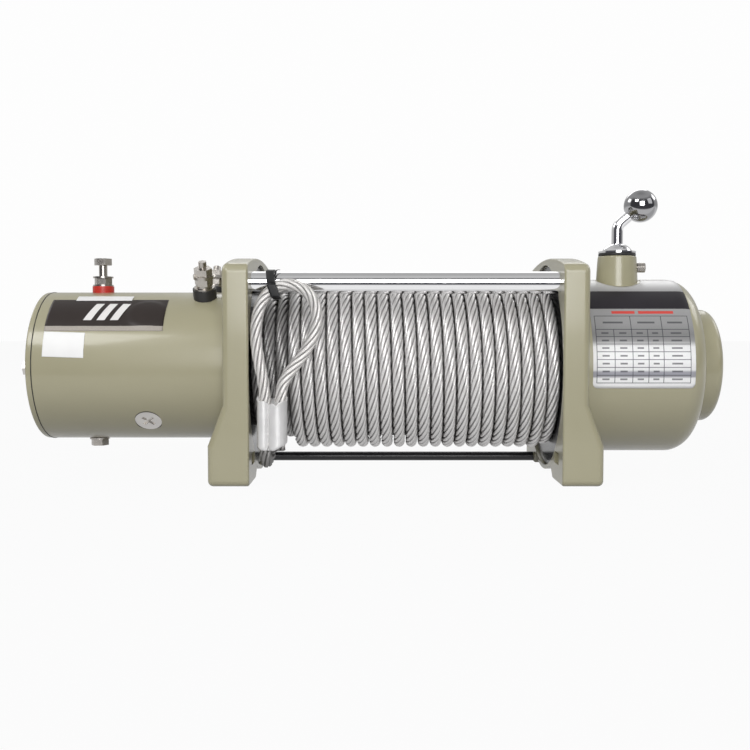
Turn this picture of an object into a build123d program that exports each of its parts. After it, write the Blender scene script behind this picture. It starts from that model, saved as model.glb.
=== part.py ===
from build123d import *
import math
import os

# Vehicle winch: a series-wound motor drives a wire-rope drum through a three-stage planetary gearbox.
# Sizes are millimetres. +X runs along the drum from the motor to the gearbox, -Y is the side that the
# rope leaves from, +Z is up, and the origin is the middle of the four mounting bolts on the foot plane.

os.makedirs("parts", exist_ok=True)

# Clearances
running_fit = 0.06  # radial, a turning journal in its bore
sliding_fit = 0.1  # radial, a sleeve that slides or turns slowly
seat_gap = 0.02  # radial, pieces that are fixed together
air_gap = 0.5  # between faces that turn past each other

# Drum
drum_r = 32.0
drum_wall = 5.0
drum_width = 229.0
flange_r = 78.0
flange_t = 5.0
flange_side_gap = 0.7
flange_rim_gap = 0.8

# Rope: four layers, of which the outer one stops short of the motor-side flange
rope_d = 9.0
rope_pitch = 9.5
layer_step = 8.0
layer_count = 4
inner_turns = 2.25
rope_end_gap = 0.6

# Cast supports
support_t = 19.0
lip_over_flange = 2.5
shroud_wall = 2.2
belly_wall = 3.2
belly_gap = 2.0
crown_wall = 4.6
crown_drop = 8.7
crown_corner_r = 7.0
foot_gap = 86.0
foot_slant = 9.5
foot_pad_height = 29.0
flare_height = 29.0
foot_corner_r = 4.0
support_edge_r = 4.5
support_lip_r = 1.8
bush_t = 3.4

# Mounting bolts and their square nuts
bolt_spacing_x = 254.0
bolt_spacing_y = 114.3
bolt_hole_r = 5.5
bolt_hole_depth = 30.0
nut_width = 16.0
nut_height = 8.0
nut_seat_height = 13.5
nut_gap = 0.3

# Tie bars and their screws
tie_bar_r = 8.0
tie_bar_wall = 2.6
tie_bar_angle = 44.3
tie_screw_r = 4.0
tie_screw_grip = 15.0
tie_head_r = 6.5
tie_head_height = 8.0
lower_rod_r = 3.75
lower_rod_y = 47.0
lower_rod_height = 4.8
lower_rod_depth = 6.0

# Motor
motor_r = 57.5
motor_wall = 5.0
motor_length = 148.6
end_cap_skirt = 4.6
end_cap_spigot = 6.0
end_cap_edge_r = 1.5
drive_plate_t = 9.0
motor_shaft_r = 7.5
bearing_r = 16.0
bearing_width = 7.0
armature_r = 31.5
armature_length = 54.0
armature_space = 26.0
armature_gap = 1.0
winding_r = 28.0
winding_length = 12.0
commutator_r = 18.0
commutator_length = 21.0
pole_shoe_t = 4.5
pole_shoe_half = 36.0
pole_neck_half = 18.0
coil_half = 38.0
coil_overhang = 8.0
brush_plate_t = 2.5
brush_width = 8.0
brush_length = 14.0
brush_height = 16.0
through_bolt_r = 3.0
through_bolt_head_r = 5.0
through_bolt_head_height = 3.5
through_bolt_grip = 9.0
pole_screw_r = 4.0
pole_screw_head_r = 10.0
pole_screw_head_t = 4.2
pole_screw_sink = 0.4
pole_screw_grip = 9.0
pole_recess_width = 2.4
pole_recess_length = 11.0
pole_recess_depth = 1.6

# Terminals on the motor
stud_r = 3.2
stud_inset = 10.0
hole_sleeve_t = 1.8
terminal_washer_r = 7.8
terminal_washer_t = 1.2
lock_washer_r = 6.2
lock_washer_t = 2.0
terminal_nut_flats = 12.0
terminal_nut_t = 5.2
stack_gap = 0.05
armature_terminal_x = 106.0  # from the support's outer face
armature_insulator_r = 8.3
armature_insulator_t = 4.8
armature_stud_height = 26.6
field_terminal_x = 21.5
field_terminal_spread = 23.0
field_insulator_r = 8.9
field_insulator_t = 7.5
field_stud_height = 29.0
field_stud_tip = 5.0
field_stud_tip_r = 3.0
ground_bolt_x = 110.5
ground_head_t = 5.0

# Gears: each stage has a 12-tooth sun, three 24-tooth planets and a 60-tooth ring
gear_module = 1.5
sun_teeth = 12
planet_teeth = 24
ring_teeth = 60
planet_count = 3
pressure_angle = 20.0
addendum = 0.8
dedendum = 1.05
tooth_slack = 0.22
third_planet_width = 13.7
second_planet_width = 20.8
first_planet_width = 15.0
carrier_t = 6.0
carrier_r = 40.0
planet_pin_r = 5.0
drive_shaft_r = 4.3
hex_flats = 12.0
hub_length = 20.0

# Gearbox casing
ring_wall = 11.5
housing_wall = 9.4
housing_edge_r = 18.0
end_space = 9.5
end_wall = 9.3
cover_r = 43.8
cover_length = 17.4
cover_edge_r = 6.0
cover_opening_r = 28.0
cover_wall = 7.0
gearbox_screw_r = 2.5
gearbox_screw_grip = 14.0
gearbox_head_r = 4.25
gearbox_head_t = 5.0
gearbox_screw_count = 6

# Free-spool clutch: the lever's crank pin slides the second ring gear out of its dogs
clutch_slide = 6.0
dog_length = 3.5
dog_count = 12
dog_slack = 1.5
groove_wall = 1.9
groove_depth = 4.0
crank_pin_r = 2.5
crank_pin_gap = 0.4
lever_shaft_r = 7.0
boss_r = 15.2
boss_y = -12.0
boss_waist = 0.6
boss_edge_r = 1.0
boss_height = 17.5
seal_r = 14.2
seal_t = 2.4
collar_t = 1.4
dome_r = 11.4
dome_height = 5.8
lever_r = 4.3
lever_rise = 14.0
lever_bend_r = 9.0
lever_reach = (17.0, -3.0, 15.1)
knob_r = 12.7
knob_core = 6.0
detent_r = 2.5
detent_head_r = 3.8
detent_head_t = 6.2
detent_drop = 8.6

# Brake and coupling inside the drum
coupling_r = 16.0
coupling_length = 66.0
coupling_socket = 22.0
brake_shoe_gap = 1.2
brake_shoe_length = 40.0

# Rope tail, eye and ferrule
tail_cut_gap = 0.3
exit_lead = 30.0  # degrees of the last turn given to the change of direction
exit_run = 33.0
exit_drop = 0.6
exit_shift = 1.6
exit_slope = (-0.255, -0.955, -0.15)
ferrule_width = 21.5
ferrule_depth = 13.0
ferrule_bottom = -57.8
ferrule_length = 37.6
ferrule_edge = 1.2
strand_spacing = 9.8
eye_gap = 0.3
tie_width = 5.0
tie_thickness = 1.2
tie_head = (6.4, 4.2, 9.0)
tie_head_shift = 1.4
tie_x = -98.4
tie_rope_z = 54.2
tie_rope_spread = 4.6

# Heights and radii that follow
pocket_r = flange_r + flange_rim_gap
half_depth = pocket_r + shroud_wall
belly_r = pocket_r + belly_wall
axis_height = belly_r + belly_gap
crown_top = pocket_r + crown_wall
crown_edge = crown_top - crown_drop
rope_r = rope_d / 2
outer_layer_r = drum_r + rope_r + (layer_count - 1) * layer_step
inner_layer_r = outer_layer_r - layer_step
tie_bar_reach = pocket_r + tie_bar_wall + tie_bar_r
tie_bar_y = tie_bar_reach * math.cos(math.radians(tie_bar_angle))
tie_bar_z = tie_bar_reach * math.sin(math.radians(tie_bar_angle))
drum_bore_r = drum_r - drum_wall
bush_r = drum_r + running_fit + bush_t
ring_pitch_r = gear_module * ring_teeth / 2
planet_orbit = gear_module * (sun_teeth + planet_teeth) / 2
ring_root_r = ring_pitch_r + dedendum * gear_module
ring_outer_r = ring_root_r + ring_wall
housing_bore_r = ring_outer_r + seat_gap
housing_r = housing_bore_r + housing_wall
motor_bore_r = motor_r - motor_wall
pole_face_r = armature_r + armature_gap
pole_neck_r = pole_face_r + pole_shoe_t

# Places along the drum axis that follow
flange_x = drum_width / 2
support_in = flange_x - lip_over_flange
support_out = support_in + support_t
pocket_floor = flange_x + flange_t + flange_side_gap
drum_end = support_out - air_gap
foot_out = bolt_spacing_x - support_in
motor_end = -support_out - motor_length
motor_tube_end = motor_end + end_cap_skirt
third_carrier_x = support_out + 2.5
third_planet_x = third_carrier_x + carrier_t + air_gap
second_carrier_x = third_planet_x + third_planet_width + air_gap
second_planet_x = second_carrier_x + carrier_t + air_gap
first_carrier_x = second_planet_x + second_planet_width + air_gap
first_planet_x = first_carrier_x + carrier_t + air_gap
first_planet_end = first_planet_x + first_planet_width
third_ring_end = second_carrier_x + air_gap
clutch_dog_x = third_ring_end + 0.2
clutch_ring_x = clutch_dog_x + dog_length
clutch_ring_end = first_carrier_x - 2.5
first_ring_x = clutch_ring_end + clutch_slide + 2.5
first_ring_end = first_planet_end + 1.0
groove_width = 2 * (crank_pin_r + crank_pin_gap)
boss_x = clutch_ring_x + groove_wall + groove_width / 2 + clutch_slide / 2
crank = clutch_slide / 2 / math.sin(math.radians(45))
housing_floor = first_ring_end + end_space
housing_end = housing_floor + end_wall
cover_end = housing_end + cover_length
armature_x = -support_out - drive_plate_t - armature_space - armature_length
pole_angles = (45, 135, 225, 315)
bearing_x = motor_tube_end + end_cap_spigot - bearing_width
brush_plate_x = bearing_x + bearing_width + 1.0
commutator_x = brush_plate_x + brush_plate_t
coupling_x = -support_out + 4.0
coupling_end = coupling_x + coupling_length
tail_x = -95.3
tail_cut_x = -flange_x + rope_pitch * inner_turns + rope_d + 0.1

drum_axis = Axis((0, 0, axis_height), (1, 0, 0))
lengthwise = Plane(origin=(0, 0, axis_height), x_dir=(1, 0, 0), z_dir=(0, -1, 0))


def across(x, turn=0):
    """Plane square to the drum axis at x, with its own x to the rear and y up, turned about the axis."""
    a = math.radians(turn)
    return Plane(origin=(x, 0, axis_height), x_dir=(0, math.cos(a), math.sin(a)), z_dir=(1, 0, 0))


def outward(x, degrees, r):
    """Plane that faces away from the drum axis at x, at an angle from the rear and r from the axis."""
    a = math.radians(degrees)
    place = (x, r * math.cos(a), axis_height + r * math.sin(a))
    return Plane(origin=place, x_dir=(1, 0, 0), z_dir=(0, math.cos(a), math.sin(a)))


def upward(x, y, z):
    """Level plane at a height given from the drum axis."""
    return Plane.XY.move(Location((x, y, axis_height + z)))


def wedge(half_degrees, r):
    """Corners of a wedge about the local x axis that reaches past r."""
    rise = 2 * r * math.tan(math.radians(half_degrees))
    return [(0, 0), (2 * r, -rise), (2 * r, rise)]


def involute(angle):
    return math.tan(angle) - angle


def gear_points(teeth, top, bottom, slack, turn=0.0):
    """Outline of a spur gear with three points on each flank: root, pitch and tip."""
    pitch_r = gear_module * teeth / 2
    base_r = pitch_r * math.cos(math.radians(pressure_angle))
    flank = []
    for r in (pitch_r - bottom * gear_module, pitch_r, pitch_r + top * gear_module):
        lean = math.acos(base_r / r) if r > base_r else 0.0
        half = math.pi / (2 * teeth) + involute(math.radians(pressure_angle)) - involute(lean)
        flank.append((r, half - slack / (2 * r)))
    points = []
    for tooth in range(teeth):
        middle = 2 * math.pi * tooth / teeth + math.radians(turn)
        for side, run in ((-1, flank), (1, flank[::-1])):
            points += [(r * math.cos(middle + side * h), r * math.sin(middle + side * h)) for r, h in run]
    return points


sun_outline = gear_points(sun_teeth, addendum, dedendum, tooth_slack)
planet_outline = gear_points(planet_teeth, addendum, dedendum, tooth_slack, 180 / planet_teeth)
ring_outline = gear_points(ring_teeth, dedendum, addendum, -tooth_slack, 180 / ring_teeth)
planet_angles = [90 + 360 / planet_count * n for n in range(planet_count)]


# Supports: cast end plates that shroud the drum flanges, carry the drum and stand on flared feet
for side, name, casing_r in ((-1, "motor_side_support", motor_r), (1, "gear_side_support", housing_r)):
    with BuildPart() as support:
        with BuildSketch(across(side * support_in)) as outline:
            with BuildLine():
                belly_y = foot_gap / 2 - foot_slant
                belly_z = -math.sqrt(belly_r**2 - belly_y**2)
                ThreePointArc((half_depth, crown_edge), (0, crown_top), (-half_depth, crown_edge))
                Polyline(
                    (-half_depth, crown_edge),
                    (-half_depth, -axis_height),
                    (-foot_gap / 2, -axis_height),
                    (-belly_y, belly_z),
                )
                ThreePointArc((-belly_y, belly_z), (0, -belly_r), (belly_y, belly_z))
                Polyline(
                    (belly_y, belly_z),
                    (foot_gap / 2, -axis_height),
                    (half_depth, -axis_height),
                    (half_depth, crown_edge),
                )
            make_face()
            fillet(outline.vertices().group_by(Axis.Y)[-1], radius=crown_corner_r)
        extrude(amount=side * support_t)
        for y in (-foot_gap / 2, half_depth):
            with BuildSketch(Plane(origin=(0, y, 0), x_dir=(1, 0, 0), z_dir=(0, -1, 0))) as flare:
                with BuildLine():
                    Polyline(
                        (side * support_in, 0),
                        (side * foot_out, 0),
                        (side * foot_out, foot_pad_height),
                        (side * support_out, foot_pad_height + flare_height),
                        (side * support_in, foot_pad_height + flare_height),
                        close=True,
                    )
                make_face()
                low_corners = flare.vertices().group_by(Axis.Y)[0].sort_by(Axis.X)
                fillet(low_corners[-1 if side > 0 else 0], radius=foot_corner_r)
            extrude(amount=half_depth - foot_gap / 2)
        outer_edges, lip_edges = [], []
        for edge in support.edges():
            middle = edge.center()
            ends = [abs(point.X) for point in (edge.start_point(), edge.end_point())]
            on_side = abs(middle.Y) > half_depth - 0.01
            on_crown = middle.Z > axis_height + crown_edge - crown_corner_r
            if min(ends) > support_out - 0.01 and middle.Z > foot_corner_r and (on_side or on_crown):
                outer_edges.append(edge)
            elif max(ends) < support_in + 0.01 and (on_side or on_crown):
                lip_edges.append(edge)
        fillet(outer_edges, radius=support_edge_r)
        fillet(lip_edges, radius=support_lip_r)
        with BuildSketch(across(side * support_out)):
            Circle(casing_r + air_gap)
        extrude(amount=side * (foot_out - support_out), mode=Mode.SUBTRACT)
        with BuildSketch(across(side * support_in)):
            Circle(pocket_r)
        extrude(amount=side * (pocket_floor - support_in), mode=Mode.SUBTRACT)
        with BuildSketch(across(side * support_in)):
            Circle(bush_r + seat_gap)
        extrude(amount=side * support_t, mode=Mode.SUBTRACT)
        for y in (-bolt_spacing_y / 2, bolt_spacing_y / 2):
            with BuildSketch(Plane.XY.move(Location((side * bolt_spacing_x / 2, y, 0)))):
                Circle(bolt_hole_r)
            extrude(amount=bolt_hole_depth, mode=Mode.SUBTRACT)
            nut_reach = bolt_spacing_x / 2 + nut_width / 2 + nut_gap - support_in
            with BuildSketch(Plane.XY.move(Location((side * support_in, y, nut_seat_height)))):
                Rectangle(2 * nut_reach, nut_width + 2 * nut_gap)
            extrude(amount=nut_height + 2 * nut_gap, mode=Mode.SUBTRACT)
        with BuildSketch(across(side * support_out)):
            with Locations((-tie_bar_y, tie_bar_z), (tie_bar_y, tie_bar_z)):
                Circle(tie_head_r + seat_gap)
        extrude(amount=-side * (tie_head_height + air_gap), mode=Mode.SUBTRACT)
        with BuildSketch(across(side * support_out)):
            with Locations((-tie_bar_y, tie_bar_z), (tie_bar_y, tie_bar_z)):
                Circle(tie_screw_r + seat_gap)
        extrude(amount=-side * support_t, mode=Mode.SUBTRACT)
        with BuildSketch(across(side * support_in)):
            with Locations((lower_rod_y, lower_rod_height - axis_height)):
                Circle(lower_rod_r + seat_gap)
        extrude(amount=side * lower_rod_depth, mode=Mode.SUBTRACT)
        if side < 0:
            with BuildSketch(across(-support_out)):
                with PolarLocations(motor_bore_r - through_bolt_r - 2.0, 2):
                    Circle(through_bolt_r + seat_gap)
            extrude(amount=through_bolt_grip, mode=Mode.SUBTRACT)
        else:
            with BuildSketch(across(support_out)):
                with PolarLocations(housing_bore_r + housing_wall / 2, gearbox_screw_count, start_angle=30):
                    Circle(gearbox_screw_r + seat_gap)
            extrude(amount=pocket_floor - support_out, mode=Mode.SUBTRACT)
            with BuildSketch(across(pocket_floor)):
                with PolarLocations(housing_bore_r + housing_wall / 2, gearbox_screw_count, start_angle=30):
                    Circle(gearbox_head_r + seat_gap)
            extrude(amount=gearbox_head_t + seat_gap, mode=Mode.SUBTRACT)
    support.part.label = name
    export_step(support.part, f"parts/{name}.step")

# Bushes: plain rings in the supports that the ends of the drum turn in
with BuildPart() as drum_bushes:
    for x in (-drum_end, pocket_floor + 0.3):
        with BuildSketch(across(x)):
            Circle(bush_r)
            Circle(drum_r + running_fit, mode=Mode.SUBTRACT)
        extrude(amount=drum_end - pocket_floor - 0.3)
drum_bushes.part.label = "drum_bushes"
export_step(drum_bushes.part, "parts/drum_bushes.step")

# Mounting nuts: square nuts caught in the feet
with BuildPart() as mounting_nuts:
    with BuildSketch(Plane.XY.offset(nut_seat_height)):
        with GridLocations(bolt_spacing_x, bolt_spacing_y, 2, 2):
            Rectangle(nut_width, nut_width)
            Circle(bolt_hole_r - 1.0, mode=Mode.SUBTRACT)
    extrude(amount=nut_height)
mounting_nuts.part.label = "mounting_nuts"
export_step(mounting_nuts.part, "parts/mounting_nuts.step")

# Tie bars: two chromed bars between the upper corners of the supports, tapped at both ends
for y, name in ((-tie_bar_y, "front_tie_bar"), (tie_bar_y, "rear_tie_bar")):
    with BuildPart() as tie_bar:
        with BuildSketch(across(-support_in)):
            with Locations((y, tie_bar_z)):
                Circle(tie_bar_r)
        extrude(amount=2 * support_in)
        for side in (-1, 1):
            with BuildSketch(across(side * support_in)):
                with Locations((y, tie_bar_z)):
                    Circle(tie_screw_r + seat_gap)
            extrude(amount=-side * (tie_screw_grip + 1), mode=Mode.SUBTRACT)
    tie_bar.part.label = name
    export_step(tie_bar.part, f"parts/{name}.step")

# Tie bar screws: socket screws sunk in the outer faces of the supports
with BuildPart() as tie_bar_screws:
    for side in (-1, 1):
        head_seat = side * (support_out - tie_head_height - air_gap)
        with BuildSketch(across(head_seat)):
            with Locations((-tie_bar_y, tie_bar_z), (tie_bar_y, tie_bar_z)):
                Circle(tie_head_r)
        extrude(amount=side * tie_head_height)
        with BuildSketch(across(head_seat)):
            with Locations((-tie_bar_y, tie_bar_z), (tie_bar_y, tie_bar_z)):
                Circle(tie_screw_r)
        extrude(amount=-side * (abs(head_seat) - support_in + tie_screw_grip))
        with BuildSketch(across(head_seat + side * tie_head_height)):
            with Locations((-tie_bar_y, tie_bar_z), (tie_bar_y, tie_bar_z)):
                RegularPolygon(tie_screw_r * 0.75, 6, major_radius=False)
        extrude(amount=-side * tie_head_height / 2, mode=Mode.SUBTRACT)
tie_bar_screws.part.label = "tie_bar_screws"
export_step(tie_bar_screws.part, "parts/tie_bar_screws.step")

# Lower tie rod: a thin black rod between the rear feet
with BuildPart() as lower_tie_rod:
    with BuildSketch(across(-support_in - lower_rod_depth)):
        with Locations((lower_rod_y, lower_rod_height - axis_height)):
            Circle(lower_rod_r)
    extrude(amount=2 * (support_in + lower_rod_depth))
lower_tie_rod.part.label = "lower_tie_rod"
export_step(lower_tie_rod.part, "parts/lower_tie_rod.step")

# Motor housing: a steel tube with holes for the pole screws, the terminals and the ground bolt
terminal_places = (
    (-support_out - armature_terminal_x, 90),
    (-support_out - field_terminal_x, 90 + field_terminal_spread),
    (-support_out - field_terminal_x, 90 - field_terminal_spread),
)
pole_x = armature_x + armature_length / 2
with BuildPart() as motor_housing:
    with BuildSketch(across(motor_tube_end)):
        Circle(motor_r)
        Circle(motor_bore_r, mode=Mode.SUBTRACT)
    extrude(amount=-support_out - motor_tube_end)
    for angle in pole_angles:
        with BuildSketch(outward(pole_x, angle, motor_r - pole_screw_sink)):
            Circle(pole_screw_head_r + seat_gap)
        extrude(amount=2 * pole_screw_sink, mode=Mode.SUBTRACT)
        with BuildSketch(outward(pole_x, angle, motor_r - pole_screw_sink)):
            Circle(pole_screw_head_r + seat_gap)
        extrude(amount=-pole_screw_head_t, taper=45, mode=Mode.SUBTRACT)
        with BuildSketch(outward(pole_x, angle, motor_r)):
            Circle(pole_screw_r + 1.5)
        extrude(amount=-2 * motor_wall, mode=Mode.SUBTRACT)
    for x, angle in terminal_places:
        with BuildSketch(outward(x, angle, motor_r + 1)):
            Circle(stud_r + hole_sleeve_t + 2 * seat_gap)
        extrude(amount=-2 * motor_wall, mode=Mode.SUBTRACT)
    with BuildSketch(outward(-support_out - ground_bolt_x, 270, motor_r + 1)):
        Circle(stud_r + seat_gap)
    extrude(amount=-2 * motor_wall, mode=Mode.SUBTRACT)
motor_housing.part.label = "motor_housing"
export_step(motor_housing.part, "parts/motor_housing.step")

# Motor end cap: a turned disc with a spigot in the tube and a seat for the rear bearing
with BuildPart() as motor_end_cap:
    with BuildSketch(across(motor_end)):
        Circle(motor_r)
    extrude(amount=end_cap_skirt)
    fillet(motor_end_cap.edges().sort_by(Axis.X)[0], radius=end_cap_edge_r)
    with BuildSketch(across(motor_tube_end)):
        Circle(motor_bore_r - seat_gap)
    extrude(amount=end_cap_spigot)
    with BuildSketch(across(motor_tube_end + end_cap_spigot)):
        Circle(bearing_r + seat_gap)
    extrude(amount=-bearing_width, mode=Mode.SUBTRACT)
    with BuildSketch(across(motor_end)):
        with PolarLocations(motor_bore_r - through_bolt_r - 2.0, 2):
            Circle(through_bolt_r + seat_gap)
    extrude(amount=end_cap_skirt + end_cap_spigot, mode=Mode.SUBTRACT)
motor_end_cap.part.label = "motor_end_cap"
export_step(motor_end_cap.part, "parts/motor_end_cap.step")

# Motor drive plate: closes the drive end of the tube and holds the front bearing
with BuildPart() as motor_drive_plate:
    with BuildSketch(across(-support_out - drive_plate_t)):
        Circle(motor_bore_r - seat_gap)
        Circle(bearing_r + seat_gap, mode=Mode.SUBTRACT)
        with PolarLocations(motor_bore_r - through_bolt_r - 2.0, 2):
            Circle(through_bolt_r + seat_gap, mode=Mode.SUBTRACT)
    extrude(amount=drive_plate_t)
motor_drive_plate.part.label = "motor_drive_plate"
export_step(motor_drive_plate.part, "parts/motor_drive_plate.step")

# Motor bearings: one in the end cap and one in the drive plate
with BuildPart() as motor_bearings:
    for x in (bearing_x, -support_out - drive_plate_t + 1.0):
        with BuildSketch(across(x)):
            Circle(bearing_r)
            Circle(motor_shaft_r + running_fit, mode=Mode.SUBTRACT)
        extrude(amount=bearing_width)
motor_bearings.part.label = "motor_bearings"
export_step(motor_bearings.part, "parts/motor_bearings.step")

# Through bolts: two long bolts that clamp the motor to its support
with BuildPart() as motor_through_bolts:
    with BuildSketch(across(motor_end - through_bolt_head_height)):
        with PolarLocations(motor_bore_r - through_bolt_r - 2.0, 2):
            RegularPolygon(through_bolt_head_r, 6, major_radius=False)
    extrude(amount=through_bolt_head_height)
    with BuildSketch(across(motor_end)):
        with PolarLocations(motor_bore_r - through_bolt_r - 2.0, 2):
            Circle(through_bolt_r)
    extrude(amount=motor_length + through_bolt_grip)
motor_through_bolts.part.label = "motor_through_bolts"
export_step(motor_through_bolts.part, "parts/motor_through_bolts.step")

# Field poles: four iron shoes on the tube, each a neck with a wider face
with BuildPart() as field_poles:
    for angle in pole_angles:
        with BuildSketch(across(armature_x, angle)):
            Circle(motor_bore_r - seat_gap)
            Circle(pole_neck_r - 1.0, mode=Mode.SUBTRACT)
            Polygon(*wedge(pole_neck_half, motor_bore_r), align=None, mode=Mode.INTERSECT)
        extrude(amount=armature_length)
        with BuildSketch(across(armature_x, angle)):
            Circle(pole_neck_r)
            Circle(pole_face_r, mode=Mode.SUBTRACT)
            Polygon(*wedge(pole_shoe_half, motor_bore_r), align=None, mode=Mode.INTERSECT)
        extrude(amount=armature_length)
        with BuildSketch(outward(pole_x, angle, motor_r)):
            Circle(pole_screw_r + seat_gap)
        extrude(amount=-(motor_wall + pole_screw_grip), mode=Mode.SUBTRACT)
field_poles.part.label = "field_poles"
export_step(field_poles.part, "parts/field_poles.step")

# Field coils: flat copper loops round the necks of the poles
with BuildPart() as field_coils:
    for angle in pole_angles:
        with BuildSketch(across(armature_x - coil_overhang, angle)):
            Circle(motor_bore_r - air_gap)
            Circle(pole_neck_r + seat_gap, mode=Mode.SUBTRACT)
            Polygon(*wedge(coil_half, motor_bore_r), align=None, mode=Mode.INTERSECT)
        extrude(amount=armature_length + 2 * coil_overhang)
        with BuildSketch(across(armature_x - air_gap / 2, angle)):
            Circle(motor_r)
            Polygon(*wedge(pole_neck_half + 0.5, motor_r), align=None, mode=Mode.INTERSECT)
        extrude(amount=armature_length + air_gap, mode=Mode.SUBTRACT)
field_coils.part.label = "field_coils"
export_step(field_coils.part, "parts/field_coils.step")

# Pole screws: large countersunk screws with cross recesses that hold the poles to the tube
with BuildPart() as pole_screws:
    for angle in pole_angles:
        with BuildSketch(outward(pole_x, angle, motor_r - pole_screw_sink)):
            Circle(pole_screw_head_r)
        extrude(amount=-pole_screw_head_t, taper=45)
        with BuildSketch(outward(pole_x, angle, motor_r - pole_screw_sink)):
            Circle(pole_screw_r)
        extrude(amount=-(motor_wall + pole_screw_grip - 1.0))
        with BuildSketch(outward(pole_x, angle, motor_r - pole_screw_sink)):
            Rectangle(pole_recess_length, pole_recess_width, rotation=45)
            Rectangle(pole_recess_width, pole_recess_length, rotation=45)
        extrude(amount=-pole_recess_depth, mode=Mode.SUBTRACT)
pole_screws.part.label = "pole_screws"
export_step(pole_screws.part, "parts/pole_screws.step")

# Brush plate: an insulated disc that carries the brushes round the commutator
with BuildPart() as brush_plate:
    with BuildSketch(across(brush_plate_x)):
        Circle(motor_bore_r - seat_gap)
        Circle(commutator_r + 3.0, mode=Mode.SUBTRACT)
        with PolarLocations(motor_bore_r - through_bolt_r - 2.0, 2):
            Circle(through_bolt_r + seat_gap, mode=Mode.SUBTRACT)
    extrude(amount=brush_plate_t)
brush_plate.part.label = "brush_plate"
export_step(brush_plate.part, "parts/brush_plate.step")

# Brushes: four carbon blocks that bear on the commutator
with BuildPart() as brushes:
    for turn in (0, 90, 180, 270):
        with BuildSketch(across(brush_plate_x + brush_plate_t, turn)):
            with Locations((commutator_r + 0.3 + brush_height / 2, 0)):
                Rectangle(brush_height, brush_width)
        extrude(amount=brush_length)
brushes.part.label = "brushes"
export_step(brushes.part, "parts/brushes.step")

# Armature shaft: runs in both bearings and ends in the coupling inside the drum
with BuildPart() as armature_shaft:
    with BuildSketch(across(bearing_x + 0.5)):
        Circle(motor_shaft_r)
    extrude(amount=coupling_x + coupling_socket - 1.0 - bearing_x - 0.5)
armature_shaft.part.label = "armature_shaft"
export_step(armature_shaft.part, "parts/armature_shaft.step")

# Armature core: the laminated stack on the shaft
with BuildPart() as armature_core:
    with BuildSketch(across(armature_x)):
        Circle(armature_r)
        Circle(motor_shaft_r + seat_gap, mode=Mode.SUBTRACT)
    extrude(amount=armature_length)
armature_core.part.label = "armature_core"
export_step(armature_core.part, "parts/armature_core.step")

# Armature windings: the end turns on both sides of the core
with BuildPart() as armature_windings:
    for x in (armature_x - winding_length, armature_x + armature_length):
        with BuildSketch(across(x)):
            Circle(winding_r)
            Circle(motor_shaft_r + 2.0, mode=Mode.SUBTRACT)
        extrude(amount=winding_length)
armature_windings.part.label = "armature_windings"
export_step(armature_windings.part, "parts/armature_windings.step")

# Commutator: a copper ring of bars that the brushes bear on
with BuildPart() as commutator:
    with BuildSketch(across(commutator_x)):
        Circle(commutator_r)
        Circle(motor_shaft_r + seat_gap, mode=Mode.SUBTRACT)
    extrude(amount=commutator_length)
commutator.part.label = "commutator"
export_step(commutator.part, "parts/commutator.step")

# Armature insulator: the red collar under the armature terminal, with a neck through the tube
armature_x_place, armature_angle = terminal_places[0]
with BuildPart() as armature_insulator:
    with BuildSketch(outward(armature_x_place, armature_angle, 0)):
        Circle(armature_insulator_r)
    extrude(amount=motor_r + armature_insulator_t)
    with BuildSketch(across(armature_x_place - 2 * armature_insulator_r)):
        Circle(motor_r + seat_gap)
    extrude(amount=4 * armature_insulator_r, mode=Mode.SUBTRACT)
    with BuildSketch(outward(armature_x_place, armature_angle, motor_bore_r)):
        Circle(stud_r + hole_sleeve_t)
    extrude(amount=motor_wall + 1.0)
    with BuildSketch(outward(armature_x_place, armature_angle, 0)):
        Circle(stud_r + seat_gap)
    extrude(amount=2 * motor_r, mode=Mode.SUBTRACT)
armature_insulator.part.label = "armature_insulator"
export_step(armature_insulator.part, "parts/armature_insulator.step")

# Field insulators: two black collars under the field terminals
with BuildPart() as field_insulators:
    for x, angle in terminal_places[1:]:
        with BuildSketch(outward(x, angle, motor_bore_r)):
            Circle(field_insulator_r)
        extrude(amount=motor_wall + field_insulator_t)
    with BuildSketch(across(-support_out - field_terminal_x - 2 * field_insulator_r)):
        Circle(motor_r + seat_gap)
    extrude(amount=4 * field_insulator_r, mode=Mode.SUBTRACT)
    for x, angle in terminal_places[1:]:
        with BuildSketch(outward(x, angle, motor_bore_r)):
            Circle(stud_r + hole_sleeve_t)
        extrude(amount=motor_wall + 1.0)
        with BuildSketch(outward(x, angle, motor_bore_r)):
            Circle(stud_r + seat_gap)
        extrude(amount=motor_r, mode=Mode.SUBTRACT)
field_insulators.part.label = "field_insulators"
export_step(field_insulators.part, "parts/field_insulators.step")

# Terminal studs: threaded studs with heads inside the tube
field_shank = field_stud_height - field_stud_tip
stud_heights = (armature_stud_height, field_shank, field_shank)
with BuildPart() as terminal_studs:
    for (x, angle), height in zip(terminal_places, stud_heights):
        with BuildSketch(outward(x, angle, motor_bore_r - 3.0)):
            Circle(stud_r + hole_sleeve_t)
        extrude(amount=3.0)
        with BuildSketch(outward(x, angle, motor_bore_r - 1.0)):
            Circle(stud_r)
        extrude(amount=motor_wall + 1.0 + height)
    for x, angle in terminal_places[1:]:
        with BuildSketch(outward(x, angle, motor_r + field_shank)):
            Circle(field_stud_tip_r)
        extrude(amount=field_stud_tip)
terminal_studs.part.label = "terminal_studs"
export_step(terminal_studs.part, "parts/terminal_studs.step")

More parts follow.
